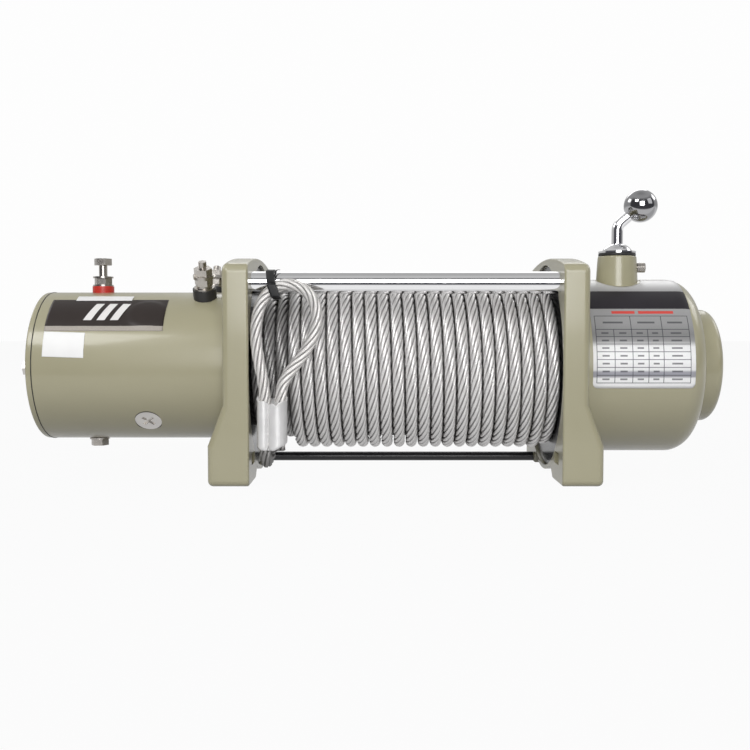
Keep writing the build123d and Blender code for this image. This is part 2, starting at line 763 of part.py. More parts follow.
# Terminal nuts: hex nuts with flat and lock washers, stacked from each insulator outward
stack_sizes = {"washer": terminal_washer_t, "lock": lock_washer_t, "nut": terminal_nut_t}
armature_stack = []
field_stack = []
stack_lists = (
    (armature_stack, motor_r + armature_insulator_t, ("washer", "nut", "washer")),
    (field_stack, motor_r + field_insulator_t, ("washer", "lock", "nut", "washer", "washer", "nut")),
)
for stack, base, kinds in stack_lists:
    for kind in kinds:
        stack.append((kind, base))
        base += stack_sizes[kind] + stack_gap
armature_stack.append(("nut", motor_r + armature_stud_height - terminal_nut_t))
with BuildPart() as terminal_nuts:
    for (x, angle), stack in zip(terminal_places, (armature_stack, field_stack, field_stack)):
        for kind, r in stack:
            with BuildSketch(outward(x, angle, r)):
                if kind == "nut":
                    RegularPolygon(terminal_nut_flats / 2, 6, major_radius=False)
                else:
                    Circle(terminal_washer_r if kind == "washer" else lock_washer_r)
                Circle(stud_r + seat_gap, mode=Mode.SUBTRACT)
            extrude(amount=stack_sizes[kind])
terminal_nuts.part.label = "terminal_nuts"
export_step(terminal_nuts.part, "parts/terminal_nuts.step")

# Ground bolt: a hex bolt and washer under the motor
with BuildPart() as ground_bolt:
    ground_x = -support_out - ground_bolt_x
    with BuildSketch(outward(ground_x, 270, motor_bore_r - 4.0)):
        Circle(stud_r)
    extrude(amount=motor_wall + 4.0 + terminal_washer_t)
    with BuildSketch(outward(ground_x, 270, motor_r)):
        Circle(terminal_washer_r)
    extrude(amount=terminal_washer_t)
    with BuildSketch(outward(ground_x, 270, motor_r + terminal_washer_t)):
        RegularPolygon(terminal_nut_flats / 2, 6, major_radius=False)
    extrude(amount=ground_head_t)
ground_bolt.part.label = "ground_bolt"
export_step(ground_bolt.part, "parts/ground_bolt.step")

# Drum tube: its ends turn in the bushes of the supports
with BuildPart() as drum_tube:
    with BuildSketch(across(-drum_end)):
        Circle(drum_r)
        Circle(drum_bore_r, mode=Mode.SUBTRACT)
    extrude(amount=2 * drum_end)
drum_tube.part.label = "drum_tube"
export_step(drum_tube.part, "parts/drum_tube.step")

# Drum flanges: polished discs that keep the rope on the drum
with BuildPart() as drum_flanges:
    for x in (-flange_x - flange_t, flange_x):
        with BuildSketch(across(x)):
            Circle(flange_r)
            Circle(drum_r + seat_gap, mode=Mode.SUBTRACT)
        extrude(amount=flange_t)
drum_flanges.part.label = "drum_flanges"
export_step(drum_flanges.part, "parts/drum_flanges.step")

# Shaft coupling: joins the motor shaft to the hex drive shaft inside the drum and carries the brake
hex_r = hex_flats / math.sqrt(3)
with BuildPart() as shaft_coupling:
    with BuildSketch(across(coupling_x)):
        Circle(coupling_r)
    extrude(amount=coupling_length)
    with BuildSketch(across(coupling_x)):
        Circle(motor_shaft_r + seat_gap)
    extrude(amount=coupling_socket, mode=Mode.SUBTRACT)
    with BuildSketch(across(coupling_end)):
        RegularPolygon(hex_flats / 2 + seat_gap, 6, major_radius=False)
    extrude(amount=-coupling_socket, mode=Mode.SUBTRACT)
shaft_coupling.part.label = "shaft_coupling"
export_step(shaft_coupling.part, "parts/shaft_coupling.step")

# Brake shoes: two half rings on the coupling that grip the bore of the drum when the load drives back
with BuildPart() as brake_shoes:
    for turn in (0, 180):
        with BuildSketch(across(coupling_x + coupling_socket, turn)):
            Circle(drum_bore_r - brake_shoe_gap)
            Circle(coupling_r + seat_gap, mode=Mode.SUBTRACT)
            Polygon(*wedge(80, drum_r), align=None, mode=Mode.INTERSECT)
        extrude(amount=brake_shoe_length)
brake_shoes.part.label = "brake_shoes"
export_step(brake_shoes.part, "parts/brake_shoes.step")

# Drive shaft: hex along the drum, then round through the hollow suns to the cover
hex_end = support_out - hub_length - 2.0
with BuildPart() as drive_shaft:
    with BuildSketch(across(coupling_end - coupling_socket + 1.0)):
        RegularPolygon(hex_flats / 2, 6, major_radius=False)
    extrude(amount=hex_end - coupling_end + coupling_socket - 1.0)
    with BuildSketch(across(hex_end)):
        Circle(drive_shaft_r)
    extrude(amount=housing_end - 1.0 - hex_end)
drive_shaft.part.label = "drive_shaft"
export_step(drive_shaft.part, "parts/drive_shaft.step")

# First sun gear: fixed on the drive shaft at the far end of the gearbox
with BuildPart() as first_sun_gear:
    with BuildSketch(across(first_planet_x)):
        Polygon(*sun_outline, align=None)
        Circle(drive_shaft_r + seat_gap, mode=Mode.SUBTRACT)
    extrude(amount=first_planet_width)
first_sun_gear.part.label = "first_sun_gear"
export_step(first_sun_gear.part, "parts/first_sun_gear.step")

# Carriers: each is a plate with three planet pins, and the first two carry the next stage's sun
carriers = (
    ("first_carrier", first_carrier_x, first_planet_width, second_planet_x),
    ("second_carrier", second_carrier_x, second_planet_width, third_planet_x),
)
for name, x, pin_length, sun_x in carriers:
    with BuildPart() as carrier:
        with BuildSketch(across(x)):
            Circle(carrier_r)
        extrude(amount=carrier_t)
        with BuildSketch(across(sun_x)):
            Polygon(*sun_outline, align=None)
        extrude(amount=x - sun_x)
        with BuildSketch(across(x + carrier_t)):
            with PolarLocations(planet_orbit, planet_count, start_angle=90):
                Circle(planet_pin_r)
        extrude(amount=air_gap + pin_length)
        with BuildSketch(across(sun_x)):
            Circle(drive_shaft_r + air_gap)
        extrude(amount=x + carrier_t - sun_x, mode=Mode.SUBTRACT)
    carrier.part.label = name
    export_step(carrier.part, f"parts/{name}.step")

# Third carrier: the output, with a hub fixed in the end of the drum
with BuildPart() as third_carrier:
    with BuildSketch(across(third_carrier_x)):
        Circle(carrier_r)
    extrude(amount=carrier_t)
    with BuildSketch(across(third_carrier_x + carrier_t)):
        with PolarLocations(planet_orbit, planet_count, start_angle=90):
            Circle(planet_pin_r)
    extrude(amount=air_gap + third_planet_width)
    with BuildSketch(across(third_carrier_x - hub_length)):
        Circle(drum_bore_r - seat_gap)
    extrude(amount=hub_length)
    with BuildSketch(across(third_carrier_x - hub_length)):
        Circle(drive_shaft_r + air_gap)
    extrude(amount=hub_length + carrier_t, mode=Mode.SUBTRACT)
third_carrier.part.label = "third_carrier"
export_step(third_carrier.part, "parts/third_carrier.step")

# Planets: three in each stage, turning on the pins of their carrier
stages = (
    ("first", first_planet_x, first_planet_width),
    ("second", second_planet_x, second_planet_width),
    ("third", third_planet_x, third_planet_width),
)
for stage, x, width in stages:
    for number, angle in enumerate(planet_angles, start=1):
        name = f"{stage}_planet_{number}"
        with BuildPart() as planet:
            a = math.radians(angle)
            with BuildSketch(across(x)):
                with Locations((planet_orbit * math.cos(a), planet_orbit * math.sin(a))):
                    Polygon(*planet_outline, align=None)
                    Circle(planet_pin_r + running_fit, mode=Mode.SUBTRACT)
            extrude(amount=width)
        planet.part.label = name
        export_step(planet.part, f"parts/{name}.step")

# Fixed ring gears: the first and third rings, pressed in the housing; the third has dogs for the clutch
dog_half = 360 / dog_count / 4 - dog_slack / 2
with BuildPart() as fixed_ring_gears:
    for x, end in ((third_carrier_x + carrier_t, third_ring_end), (first_ring_x, first_ring_end)):
        with BuildSketch(across(x)):
            Circle(ring_outer_r)
            Polygon(*ring_outline, align=None, mode=Mode.SUBTRACT)
        extrude(amount=end - x)
    for n in range(dog_count):
        with BuildSketch(across(third_ring_end, 360 / dog_count * n)):
            Circle(ring_outer_r)
            Circle(ring_root_r, mode=Mode.SUBTRACT)
            Polygon(*wedge(dog_half, ring_outer_r), align=None, mode=Mode.INTERSECT)
        extrude(amount=dog_length)
fixed_ring_gears.part.label = "fixed_ring_gears"
export_step(fixed_ring_gears.part, "parts/fixed_ring_gears.step")

# Clutch ring gear: the second ring, which slides along the planets to leave the dogs
clutch_ring_r = housing_bore_r - sliding_fit
with BuildPart() as clutch_ring_gear:
    with BuildSketch(across(clutch_ring_x)):
        Circle(clutch_ring_r)
        Polygon(*ring_outline, align=None, mode=Mode.SUBTRACT)
    extrude(amount=clutch_ring_end - clutch_ring_x)
    with BuildSketch(across(clutch_ring_x + groove_wall)):
        Circle(clutch_ring_r + 1.0)
        Circle(clutch_ring_r - groove_depth, mode=Mode.SUBTRACT)
    extrude(amount=groove_width, mode=Mode.SUBTRACT)
    for n in range(dog_count):
        with BuildSketch(across(clutch_dog_x, 360 / dog_count * (n + 0.5))):
            Circle(clutch_ring_r)
            Circle(ring_root_r, mode=Mode.SUBTRACT)
            Polygon(*wedge(dog_half, ring_outer_r), align=None, mode=Mode.INTERSECT)
        extrude(amount=dog_length)
clutch_ring_gear.part.label = "clutch_ring_gear"
export_step(clutch_ring_gear.part, "parts/clutch_ring_gear.step")

# Gear housing: a cast cup with a large rounded edge and a boss on top for the clutch shaft
boss_top = housing_r + boss_height
boss_belly = housing_r + boss_height / 2
with BuildPart() as gear_housing:
    with BuildSketch(lengthwise):
        with BuildLine():
            Polyline(
                (support_out, 0),
                (support_out, housing_r),
                (housing_end - housing_edge_r, housing_r),
            )
            CenterArc((housing_end - housing_edge_r, housing_r - housing_edge_r), housing_edge_r, 90, -90)
            Polyline(
                (housing_end, housing_r - housing_edge_r),
                (housing_end, 0),
                (support_out, 0),
            )
        make_face()
    revolve(axis=drum_axis)
    for z, r in ((0, boss_r - boss_waist), (boss_belly, boss_r), (boss_top, boss_r - boss_waist)):
        with BuildSketch(upward(boss_x, boss_y, z)):
            Circle(r)
    loft()
    fillet(gear_housing.faces().sort_by(Axis.Z)[-1].edges(), radius=boss_edge_r)
    with BuildSketch(across(support_out)):
        Circle(housing_bore_r)
    extrude(amount=first_ring_end - support_out, mode=Mode.SUBTRACT)
    with BuildSketch(across(first_ring_end)):
        Circle(housing_r - housing_edge_r)
    extrude(amount=end_space, mode=Mode.SUBTRACT)
    with BuildSketch(across(housing_floor)):
        Circle(cover_opening_r + seat_gap)
    extrude(amount=end_wall, mode=Mode.SUBTRACT)
    with BuildSketch(upward(boss_x, boss_y, boss_top)):
        Circle(lever_shaft_r + running_fit)
    extrude(amount=-boss_top, mode=Mode.SUBTRACT)
    with BuildSketch(Plane(origin=(boss_x, boss_y, axis_height + boss_top - detent_drop), z_dir=(1, 0, 0))):
        Circle(detent_r + seat_gap)
    extrude(amount=2 * boss_r, mode=Mode.SUBTRACT)
    with BuildSketch(across(support_out)):
        with PolarLocations(housing_bore_r + housing_wall / 2, gearbox_screw_count, start_angle=30):
            Circle(gearbox_screw_r + seat_gap)
    extrude(amount=gearbox_screw_grip + 1.0, mode=Mode.SUBTRACT)
gear_housing.part.label = "gear_housing"
export_step(gear_housing.part, "parts/gear_housing.step")

# Gear end cover: a round cap with a spigot in the housing and a bore for the end of the drive shaft
with BuildPart() as gear_end_cover:
    with BuildSketch(across(housing_end)):
        Circle(cover_r)
    extrude(amount=cover_length)
    fillet(gear_end_cover.edges().sort_by(Axis.X)[-1], radius=cover_edge_r)
    with BuildSketch(across(housing_floor)):
        Circle(cover_opening_r)
    extrude(amount=end_wall)
    with BuildSketch(across(housing_floor)):
        Circle(cover_opening_r - cover_wall)
        Circle(drive_shaft_r + cover_wall, mode=Mode.SUBTRACT)
    extrude(amount=end_wall + cover_length - cover_wall, mode=Mode.SUBTRACT)
    with BuildSketch(across(housing_floor)):
        Circle(drive_shaft_r + running_fit)
    extrude(amount=end_wall, mode=Mode.SUBTRACT)
gear_end_cover.part.label = "gear_end_cover"
export_step(gear_end_cover.part, "parts/gear_end_cover.step")

# Gearbox screws: from the flange pocket of the support into the rim of the housing
with BuildPart() as gearbox_screws:
    with BuildSketch(across(pocket_floor)):
        with PolarLocations(housing_bore_r + housing_wall / 2, gearbox_screw_count, start_angle=30):
            Circle(gearbox_head_r)
    extrude(amount=gearbox_head_t)
    with BuildSketch(across(pocket_floor)):
        with PolarLocations(housing_bore_r + housing_wall / 2, gearbox_screw_count, start_angle=30):
            Circle(gearbox_screw_r)
    extrude(amount=support_out - pocket_floor + gearbox_screw_grip)
gearbox_screws.part.label = "gearbox_screws"
export_step(gearbox_screws.part, "parts/gearbox_screws.step")

# Clutch seal: a rubber ring between the boss and the collar of the lever
with BuildPart() as clutch_seal:
    with BuildSketch(upward(boss_x, boss_y, boss_top)):
        Circle(seal_r)
        Circle(lever_shaft_r + air_gap, mode=Mode.SUBTRACT)
    extrude(amount=seal_t)
    fillet(clutch_seal.edges().filter_by(GeomType.CIRCLE).group_by(SortBy.RADIUS)[-1], radius=seal_t / 3)
clutch_seal.part.label = "clutch_seal"
export_step(clutch_seal.part, "parts/clutch_seal.step")

# Clutch lever: crank pin, shaft, domed collar and bent arm in one piece
collar_z = boss_top + seal_t
crank_pin_edge = boss_y + crank_pin_r - clutch_slide / 2
crank_pin_z = math.sqrt((clutch_ring_r - groove_depth) ** 2 - crank_pin_edge**2) + crank_pin_gap
dome_z = collar_z + collar_t
lever_foot = Vector(boss_x, boss_y, axis_height + dome_z)
lever_bend = lever_foot + Vector(0, 0, dome_height + lever_rise)
knob_centre = lever_bend + Vector(*lever_reach)
arm_dir = (knob_centre - lever_bend).normalized()
lever_tip = knob_centre - arm_dir * knob_core
with BuildPart() as clutch_lever:
    with BuildSketch(upward(boss_x, boss_y, housing_bore_r + 0.4)):
        Circle(lever_shaft_r)
    extrude(amount=collar_z - housing_bore_r - 0.4)
    with BuildSketch(upward(boss_x - clutch_slide / 2, boss_y - clutch_slide / 2, crank_pin_z)):
        Circle(crank_pin_r)
    extrude(amount=housing_bore_r + 1.0 - crank_pin_z)
    with BuildSketch(upward(boss_x, boss_y, collar_z)):
        Circle(seal_r)
    extrude(amount=collar_t)
    with BuildSketch(Plane(origin=lever_foot, x_dir=(1, 0, 0), z_dir=(0, -1, 0))):
        with BuildLine():
            ThreePointArc((dome_r, 0), (dome_r * 0.76, dome_height * 0.62), (0, dome_height))
            Polyline((0, dome_height), (0, 0), (dome_r, 0))
        make_face()
    revolve(axis=Axis(lever_foot, (0, 0, 1)))
    with BuildLine() as arm:
        FilletPolyline(lever_foot, lever_bend, lever_tip, radius=lever_bend_r)
    with BuildSketch(Plane(origin=lever_foot, z_dir=(0, 0, 1))):
        Circle(lever_r)
    sweep(path=arm.wires()[0])
clutch_lever.part.label = "clutch_lever"
export_step(clutch_lever.part, "parts/clutch_lever.step")

# Clutch knob: a ball pressed on the end of the lever
with BuildPart() as clutch_knob:
    with Locations(knob_centre):
        Sphere(knob_r)
    with BuildSketch(Plane(origin=lever_tip, z_dir=arm_dir)):
        Circle(lever_r + seat_gap)
    extrude(amount=-knob_r, mode=Mode.SUBTRACT)
clutch_knob.part.label = "clutch_knob"
export_step(clutch_knob.part, "parts/clutch_knob.step")

# Detent screw: a spring plunger in the side of the boss that clicks on the clutch shaft
detent_z = axis_height + boss_top - detent_drop
with BuildPart() as detent_screw:
    with BuildSketch(Plane(origin=(boss_x + lever_shaft_r + 0.3, boss_y, detent_z), z_dir=(1, 0, 0))):
        Circle(detent_r)
    extrude(amount=boss_r - lever_shaft_r - 0.2)
    with BuildSketch(Plane(origin=(boss_x + boss_r + 0.1, boss_y, detent_z), z_dir=(1, 0, 0))):
        Circle(detent_head_r)
    extrude(amount=detent_head_t)
detent_screw.part.label = "detent_screw"
export_step(detent_screw.part, "parts/detent_screw.step")

# Rope core: the inner layers of rope as one sleeve, stepped where the third layer shows
core_step_x = tail_cut_x + 1.0
with BuildPart() as rope_core:
    with BuildSketch(across(-flange_x + 0.3)):
        Circle(inner_layer_r - rope_r - 0.4)
        Circle(drum_r + seat_gap, mode=Mode.SUBTRACT)
    extrude(amount=core_step_x + flange_x - 0.3)
    with BuildSketch(across(core_step_x)):
        Circle(outer_layer_r - rope_r - 0.4)
        Circle(drum_r + seat_gap, mode=Mode.SUBTRACT)
    extrude(amount=flange_x - 0.3 - core_step_x)
rope_core.part.label = "rope_core"
export_step(rope_core.part, "parts/rope_core.step")


def on_drum(r, x, degrees):
    """Point and direction of the rope at an angle past the drum's bottom, winding towards the motor."""
    a = math.radians(degrees)
    point = Vector(x, -r * math.sin(a), axis_height - r * math.cos(a))
    way = Vector(-rope_pitch / (2 * math.pi), -r * math.cos(a), r * math.sin(a)).normalized()
    return point, way


def winding(r, x_end, end_degrees, turns, pieces_per_turn):
    """Points and directions along a layer, evenly spaced from its start to its end."""
    pieces = math.ceil(pieces_per_turn * turns)
    stops = []
    for n in range(pieces + 1):
        back = turns * 360 * (1 - n / pieces)
        stops.append(on_drum(r, x_end + rope_pitch * back / 360, end_degrees - back))
    return stops


def biarc_middle(start, start_way, end, end_way):
    """Where two tangent arcs between two points and directions meet, and the direction there."""
    span = end - start
    lean = 2 * (1 - start_way.dot(end_way))
    along = span.dot(start_way + end_way)
    reach = (math.sqrt(along**2 + lean * span.dot(span)) - along) / lean
    first = start + start_way * reach
    last = end - end_way * reach
    return (first + last) * 0.5, (last - first).normalized()


def least_gap(points, span, thickness):
    """Least clear distance between parts of a tube that lie at least span apart along it."""
    step = (points[0] - points[1]).length
    skip = int(span / step)
    least = min(
        (points[i] - points[j]).length for i in range(len(points)) for j in range(i + skip, len(points))
    )
    return least - thickness


# Outer rope layer: one unbroken tube of turns, which leaves the bottom of the drum towards the eye
exit_way = Vector(*exit_slope).normalized()
exit_start = Vector(tail_cut_x + rope_r, 8.5, axis_height - outer_layer_r - exit_drop)
layer_end_x = exit_start.X + exit_shift
outer_turns = (flange_x - rope_end_gap - rope_r - layer_end_x) / rope_pitch
layer_stops = winding(outer_layer_r, layer_end_x, -exit_lead, outer_turns, 2)
layer_stops.append((exit_start, exit_way))
with BuildPart() as rope_outer_layer:
    with BuildLine() as turns:
        start, way = layer_stops[0]
        Line(start - way * rope_d, start)
        for (start, way), (end, end_way) in zip(layer_stops, layer_stops[1:]):
            middle, middle_way = biarc_middle(start, way, end, end_way)
            TangentArc(start, middle, tangent=way)
            TangentArc(middle, end, tangent=middle_way)
        Line(exit_start, exit_start + exit_way * exit_run)
    path = turns.wires()[0]
    with BuildSketch(Plane(origin=path @ 0, z_dir=path % 0)):
        Circle(rope_r)
    sweep(path=path)
    layer_fill = rope_outer_layer.part.volume / (math.pi * rope_r**2 * path.length)
    split(bisect_by=Plane(origin=(tail_cut_x, 0, 0), z_dir=(1, 0, 0)), keep=Keep.TOP)
rope_outer_layer.part.label = "rope_outer_layer"
export_step(rope_outer_layer.part, "parts/rope_outer_layer.step")
samples = [path @ (n / 1500) for n in range(1501)]
layer_gap = least_gap(samples, 180, rope_d)
print(f"outer layer: {outer_turns:.2f} turns, fill {layer_fill:.4f}, least gap {layer_gap:.2f} mm")

# Inner rope turns: the part of the third layer that the outer layer leaves bare
inner_end_x = -flange_x + rope_end_gap + rope_r
inner_stops = winding(inner_layer_r, inner_end_x, 180, inner_turns, 4)
with BuildPart() as rope_inner_turns:
    with BuildLine() as turns:
        start, way = inner_stops[0]
        Line(start - way * rope_d, start)
        for (start, way), (end, end_way) in zip(inner_stops, inner_stops[1:]):
            middle, middle_way = biarc_middle(start, way, end, end_way)
            TangentArc(start, middle, tangent=way)
            TangentArc(middle, end, tangent=middle_way)
        end, end_way = inner_stops[-1]
        Line(end, end + end_way * rope_d)
    path = turns.wires()[0]
    with BuildSketch(Plane(origin=path @ 0, z_dir=path % 0)):
        Circle(rope_r)
    sweep(path=path)
rope_inner_turns.part.label = "rope_inner_turns"
export_step(rope_inner_turns.part, "parts/rope_inner_turns.step")
samples = [path @ (n / 400) for n in range(401)]
print(f"inner turns: least gap {least_gap(samples, 180, rope_d):.2f} mm")

# Rope tail: from the drum to the ferrule, up round the eye and back into the ferrule
eye_y = -tie_bar_y - tie_bar_r - eye_gap - rope_r
ferrule_y = eye_y - 1.2
left_strand = tail_x - strand_spacing / 2
right_strand = tail_x + strand_spacing / 2
tail_bend = exit_start + exit_way * exit_run
tail_floor = tail_bend.Z - axis_height
ferrule_top = ferrule_bottom + ferrule_length
tail_route = [
    exit_start,
    tail_bend,
    Vector(left_strand, ferrule_y, axis_height + tail_floor - 0.6),
    Vector(left_strand, ferrule_y, axis_height + ferrule_top + 6.0),
    Vector(-106.4, eye_y - 0.5, axis_height + 12.0),
    Vector(-107.2, eye_y, axis_height + 34.0),
    Vector(-101.0, eye_y, axis_height + 54.0),
    Vector(-84.5, eye_y, axis_height + 62.5),
    Vector(-68.0, eye_y, axis_height + 55.5),
    Vector(-61.8, eye_y, axis_height + 38.0),
    Vector(-68.5, eye_y - 0.3, axis_height + 16.0),
    Vector(right_strand + 6.0, eye_y - 0.8, axis_height - 3.0),
    Vector(right_strand, ferrule_y, axis_height + ferrule_top + 4.0),
    Vector(right_strand, ferrule_y, axis_height + ferrule_bottom),
]


def bend_radius(before, corner, after):
    """Largest arc that a corner of the rope's route has room for."""
    turn = math.radians((corner - before).get_angle(after - corner))
    run = min((corner - before).length, (after - corner).length)
    return 0.45 * run / math.tan(turn / 2)


tail_radii = [bend_radius(*tail_route[n : n + 3]) for n in range(len(tail_route) - 2)]
tail_radii[1] = rope_d
for n, room in ((2, 6.0), (11, 4.0)):
    turn = (tail_route[n + 1] - tail_route[n]).get_angle(tail_route[n + 2] - tail_route[n + 1])
    tail_radii[n] = min(tail_radii[n], room / math.tan(math.radians(turn / 2)))
print("tail radii", [round(r, 1) for r in tail_radii])
with BuildPart() as rope_tail:
    with BuildLine() as route:
        FilletPolyline(*tail_route, radius=tail_radii)
    path = route.wires()[0]
    with BuildSketch(Plane(origin=path @ 0, z_dir=path % 0)):
        Circle(rope_r)
    sweep(path=path)
    tail_fill = rope_tail.part.volume / (math.pi * rope_r**2 * path.length)
    with BuildSketch(across(tail_cut_x - tail_cut_gap)):
        with Locations((exit_start.Y, exit_start.Z - axis_height)):
            Rectangle(2 * exit_run, 4 * rope_d)
    extrude(amount=2 * rope_d, mode=Mode.SUBTRACT)
rope_tail.part.label = "rope_tail"
export_step(rope_tail.part, "parts/rope_tail.step")
samples = [path @ (n / 400) for n in range(401)]
tail_gap = least_gap(samples, 60, rope_d)
print(f"tail: length {path.length:.1f} mm, fill {tail_fill:.4f}, least gap {tail_gap:.2f} mm")

# Rope ferrule: the pressed aluminium sleeve that closes the eye
with BuildPart() as rope_ferrule:
    with BuildSketch(upward(tail_x, ferrule_y, ferrule_bottom)):
        SlotOverall(ferrule_width, ferrule_depth)
    extrude(amount=ferrule_length)
    fillet(rope_ferrule.edges().filter_by(Axis.Z, reverse=True), radius=ferrule_edge)
    with BuildSketch(upward(tail_x, ferrule_y, ferrule_bottom)):
        with Locations((-strand_spacing / 2, 0), (strand_spacing / 2, 0)):
            Circle(rope_r + seat_gap)
    extrude(amount=ferrule_length, mode=Mode.SUBTRACT)
rope_ferrule.part.label = "rope_ferrule"
export_step(rope_ferrule.part, "parts/rope_ferrule.step")

# Cable tie: a nylon band that holds the eye to the front tie bar
with BuildPart() as cable_tie:
    with BuildSketch(across(tie_x)):
        with BuildLine():
            CenterArc((-tie_bar_y, tie_bar_z), tie_bar_r + eye_gap + tie_thickness, 0, 360)
            for rise in (-tie_rope_spread, tie_rope_spread):
                CenterArc((eye_y, tie_rope_z + rise), rope_r + eye_gap + tie_thickness, 0, 360)
        make_hull()
    extrude(amount=tie_width)
    with BuildSketch(across(tie_x)):
        with BuildLine():
            CenterArc((-tie_bar_y, tie_bar_z), tie_bar_r + eye_gap, 0, 360)
            for rise in (-tie_rope_spread, tie_rope_spread):
                CenterArc((eye_y, tie_rope_z + rise), rope_r + eye_gap, 0, 360)
        make_hull()
    extrude(amount=tie_width, mode=Mode.SUBTRACT)
    head_x = tie_x + tie_width / 2 + tie_head_shift
    with Locations((head_x, eye_y - rope_r - eye_gap, axis_height + tie_rope_z)):
        Box(*tie_head, align=(Align.CENTER, Align.MAX, Align.CENTER))
cable_tie.part.label = "cable_tie"
export_step(cable_tie.part, "parts/cable_tie.step")
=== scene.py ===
import math

import bpy
import numpy as np
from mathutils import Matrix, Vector


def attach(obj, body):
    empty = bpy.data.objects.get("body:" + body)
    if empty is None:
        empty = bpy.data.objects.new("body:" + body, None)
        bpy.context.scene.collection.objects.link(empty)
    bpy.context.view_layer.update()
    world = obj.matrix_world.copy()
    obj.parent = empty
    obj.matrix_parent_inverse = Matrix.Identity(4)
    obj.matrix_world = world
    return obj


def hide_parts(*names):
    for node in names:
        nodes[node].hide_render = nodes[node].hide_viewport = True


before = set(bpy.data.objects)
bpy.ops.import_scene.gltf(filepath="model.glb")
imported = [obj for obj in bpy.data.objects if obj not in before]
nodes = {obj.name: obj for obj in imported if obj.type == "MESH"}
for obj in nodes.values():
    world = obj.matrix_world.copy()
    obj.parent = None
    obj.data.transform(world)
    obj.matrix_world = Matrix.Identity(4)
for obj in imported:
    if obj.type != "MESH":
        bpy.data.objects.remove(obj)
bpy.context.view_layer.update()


# View: a product picture from in front of the drum, a little above its axis,
# with the camera to the left of the middle and turned down by a few degrees.
AXIS_Z = 0.084
CAMERA_PLACE = (-0.022, -0.750, AXIS_Z + 0.0318)
CAMERA_DOWN = 3.03
camera = bpy.data.objects.new("view", bpy.data.cameras.new("view"))
camera.data.sensor_width = 36.0
camera.data.lens = 45.3
camera.location = CAMERA_PLACE
camera.rotation_euler = (math.radians(90 - CAMERA_DOWN), 0, 0)
bpy.context.scene.collection.objects.link(camera)
bpy.context.scene.camera = camera
bpy.context.scene.view_settings.view_transform = "Standard"


# Studio: a white sweep of paper under soft boxes. The paper ends short of the camera, and the room
# beyond it is dim, so polished metal shows a white backdrop, a dark front and the boxes.
FLOOR_REACH = 6
TABLE_EDGE_Y = (-0.45, -0.32)
SHADE_FRONT_Y = (-0.13, -0.07)
SHADE_BACK_Y = (0.15, 0.30)
SHADE_DEPTH = 0.28
PAPER_GLOW = 0.95
PAPER_WHITE = 0.985
PAPER_MATT = (0.34, 0.34, 0.355, 1)
DIM_ROOM = (0.085, 0.085, 0.095)
ROOM_LIGHT = (0.265, 0.265, 0.270)
BEHIND_Y = (-0.12, 0.10)
OVERHEAD_Z = (0.55, 0.80)
# brightness of the backdrop, from straight below at 0 to straight above at 1
BACKDROP = ((0.0, 0.9), (0.48, 0.9), (0.54, 0.52), (0.75, 0.55), (0.90, 0.62), (0.97, 0.56), (1.0, 0.45))


def add(tree, kind, inputs=None, **settings):
    """New shader node: settings are its properties, inputs its sockets, by value or by link."""
    node = tree.nodes.new(kind)
    for key, value in settings.items():
        setattr(node, key, value)
    for key, value in (inputs or {}).items():
        if isinstance(value, bpy.types.NodeSocket):
            tree.links.new(value, node.inputs[key])
        else:
            node.inputs[key].default_value = value
    return node


def arith(tree, operation, *values):
    """Result of a Math node on values or sockets."""
    return add(tree, "ShaderNodeMath", dict(enumerate(values)), operation=operation).outputs[0]


def between(tree, factor, low, high, start=0.0, end=1.0):
    """Value that goes from low to high as the factor goes from start to end."""
    spans = {"Value": factor, "From Min": start, "From Max": end, "To Min": low, "To Max": high}
    return add(tree, "ShaderNodeMapRange", spans).outputs[0]


def blend(tree, factor, low, high):
    """Colour that goes from low to high with the factor; each is a colour or a socket."""
    first, second = ((*c, 1) if isinstance(c, tuple) else c for c in (low, high))
    return add(tree, "ShaderNodeMix", {0: factor, 6: first, 7: second}, data_type="RGBA").outputs[2]


def ramp(tree, factor, *stops):
    """Colour socket of a ramp through (place, colour) stops."""
    node = add(tree, "ShaderNodeValToRGB", {"Fac": factor})
    while len(node.color_ramp.elements) < len(stops):
        node.color_ramp.elements.new(1.0)
    for element, (place, colour) in zip(node.color_ramp.elements, stops):
        element.position = place
        element.color = (*colour, 1.0)
    return node.outputs["Color"]


def split(tree, vector):
    """The X, Y and Z sockets of a vector."""
    return add(tree, "ShaderNodeSeparateXYZ", {0: vector}).outputs


def seen_by_mirrors(tree):
    """Light path sockets, and a mask that is 1 for a ray from the camera, polished metal or glass,
    and 0 for one that only lights."""
    path = add(tree, "ShaderNodeLightPath").outputs
    either = arith(tree, "MAXIMUM", path["Is Camera Ray"], path["Is Glossy Ray"])
    return path, arith(tree, "MAXIMUM", either, path["Is Transmission Ray"])


def grey(value):
    """Colour with three equal parts."""
    return (value, value, value)


world = bpy.data.worlds.new("room")
bpy.context.scene.world = world
world.use_nodes = True
room = world.node_tree
path, mirrored = seen_by_mirrors(room)
way = split(room, add(room, "ShaderNodeTexCoord").outputs["Generated"])
height = between(room, way["Z"], 0.0, 1.0, -1.0, 1.0)
backdrop = ramp(room, height, *[(place, grey(tone)) for place, tone in BACKDROP])
overhead = between(room, way["Z"], 0.0, 1.0, *OVERHEAD_Z)
behind = arith(room, "MAXIMUM", between(room, way["Y"], 0.0, 1.0, *BEHIND_Y), overhead)
mirror_room = blend(room, behind, DIM_ROOM, backdrop)
seen = blend(room, path["Is Camera Ray"], mirror_room, grey(PAPER_WHITE))
lit = blend(room, mirrored, ROOM_LIGHT, seen)
room.links.new(lit, room.nodes["Background"].inputs["Color"])

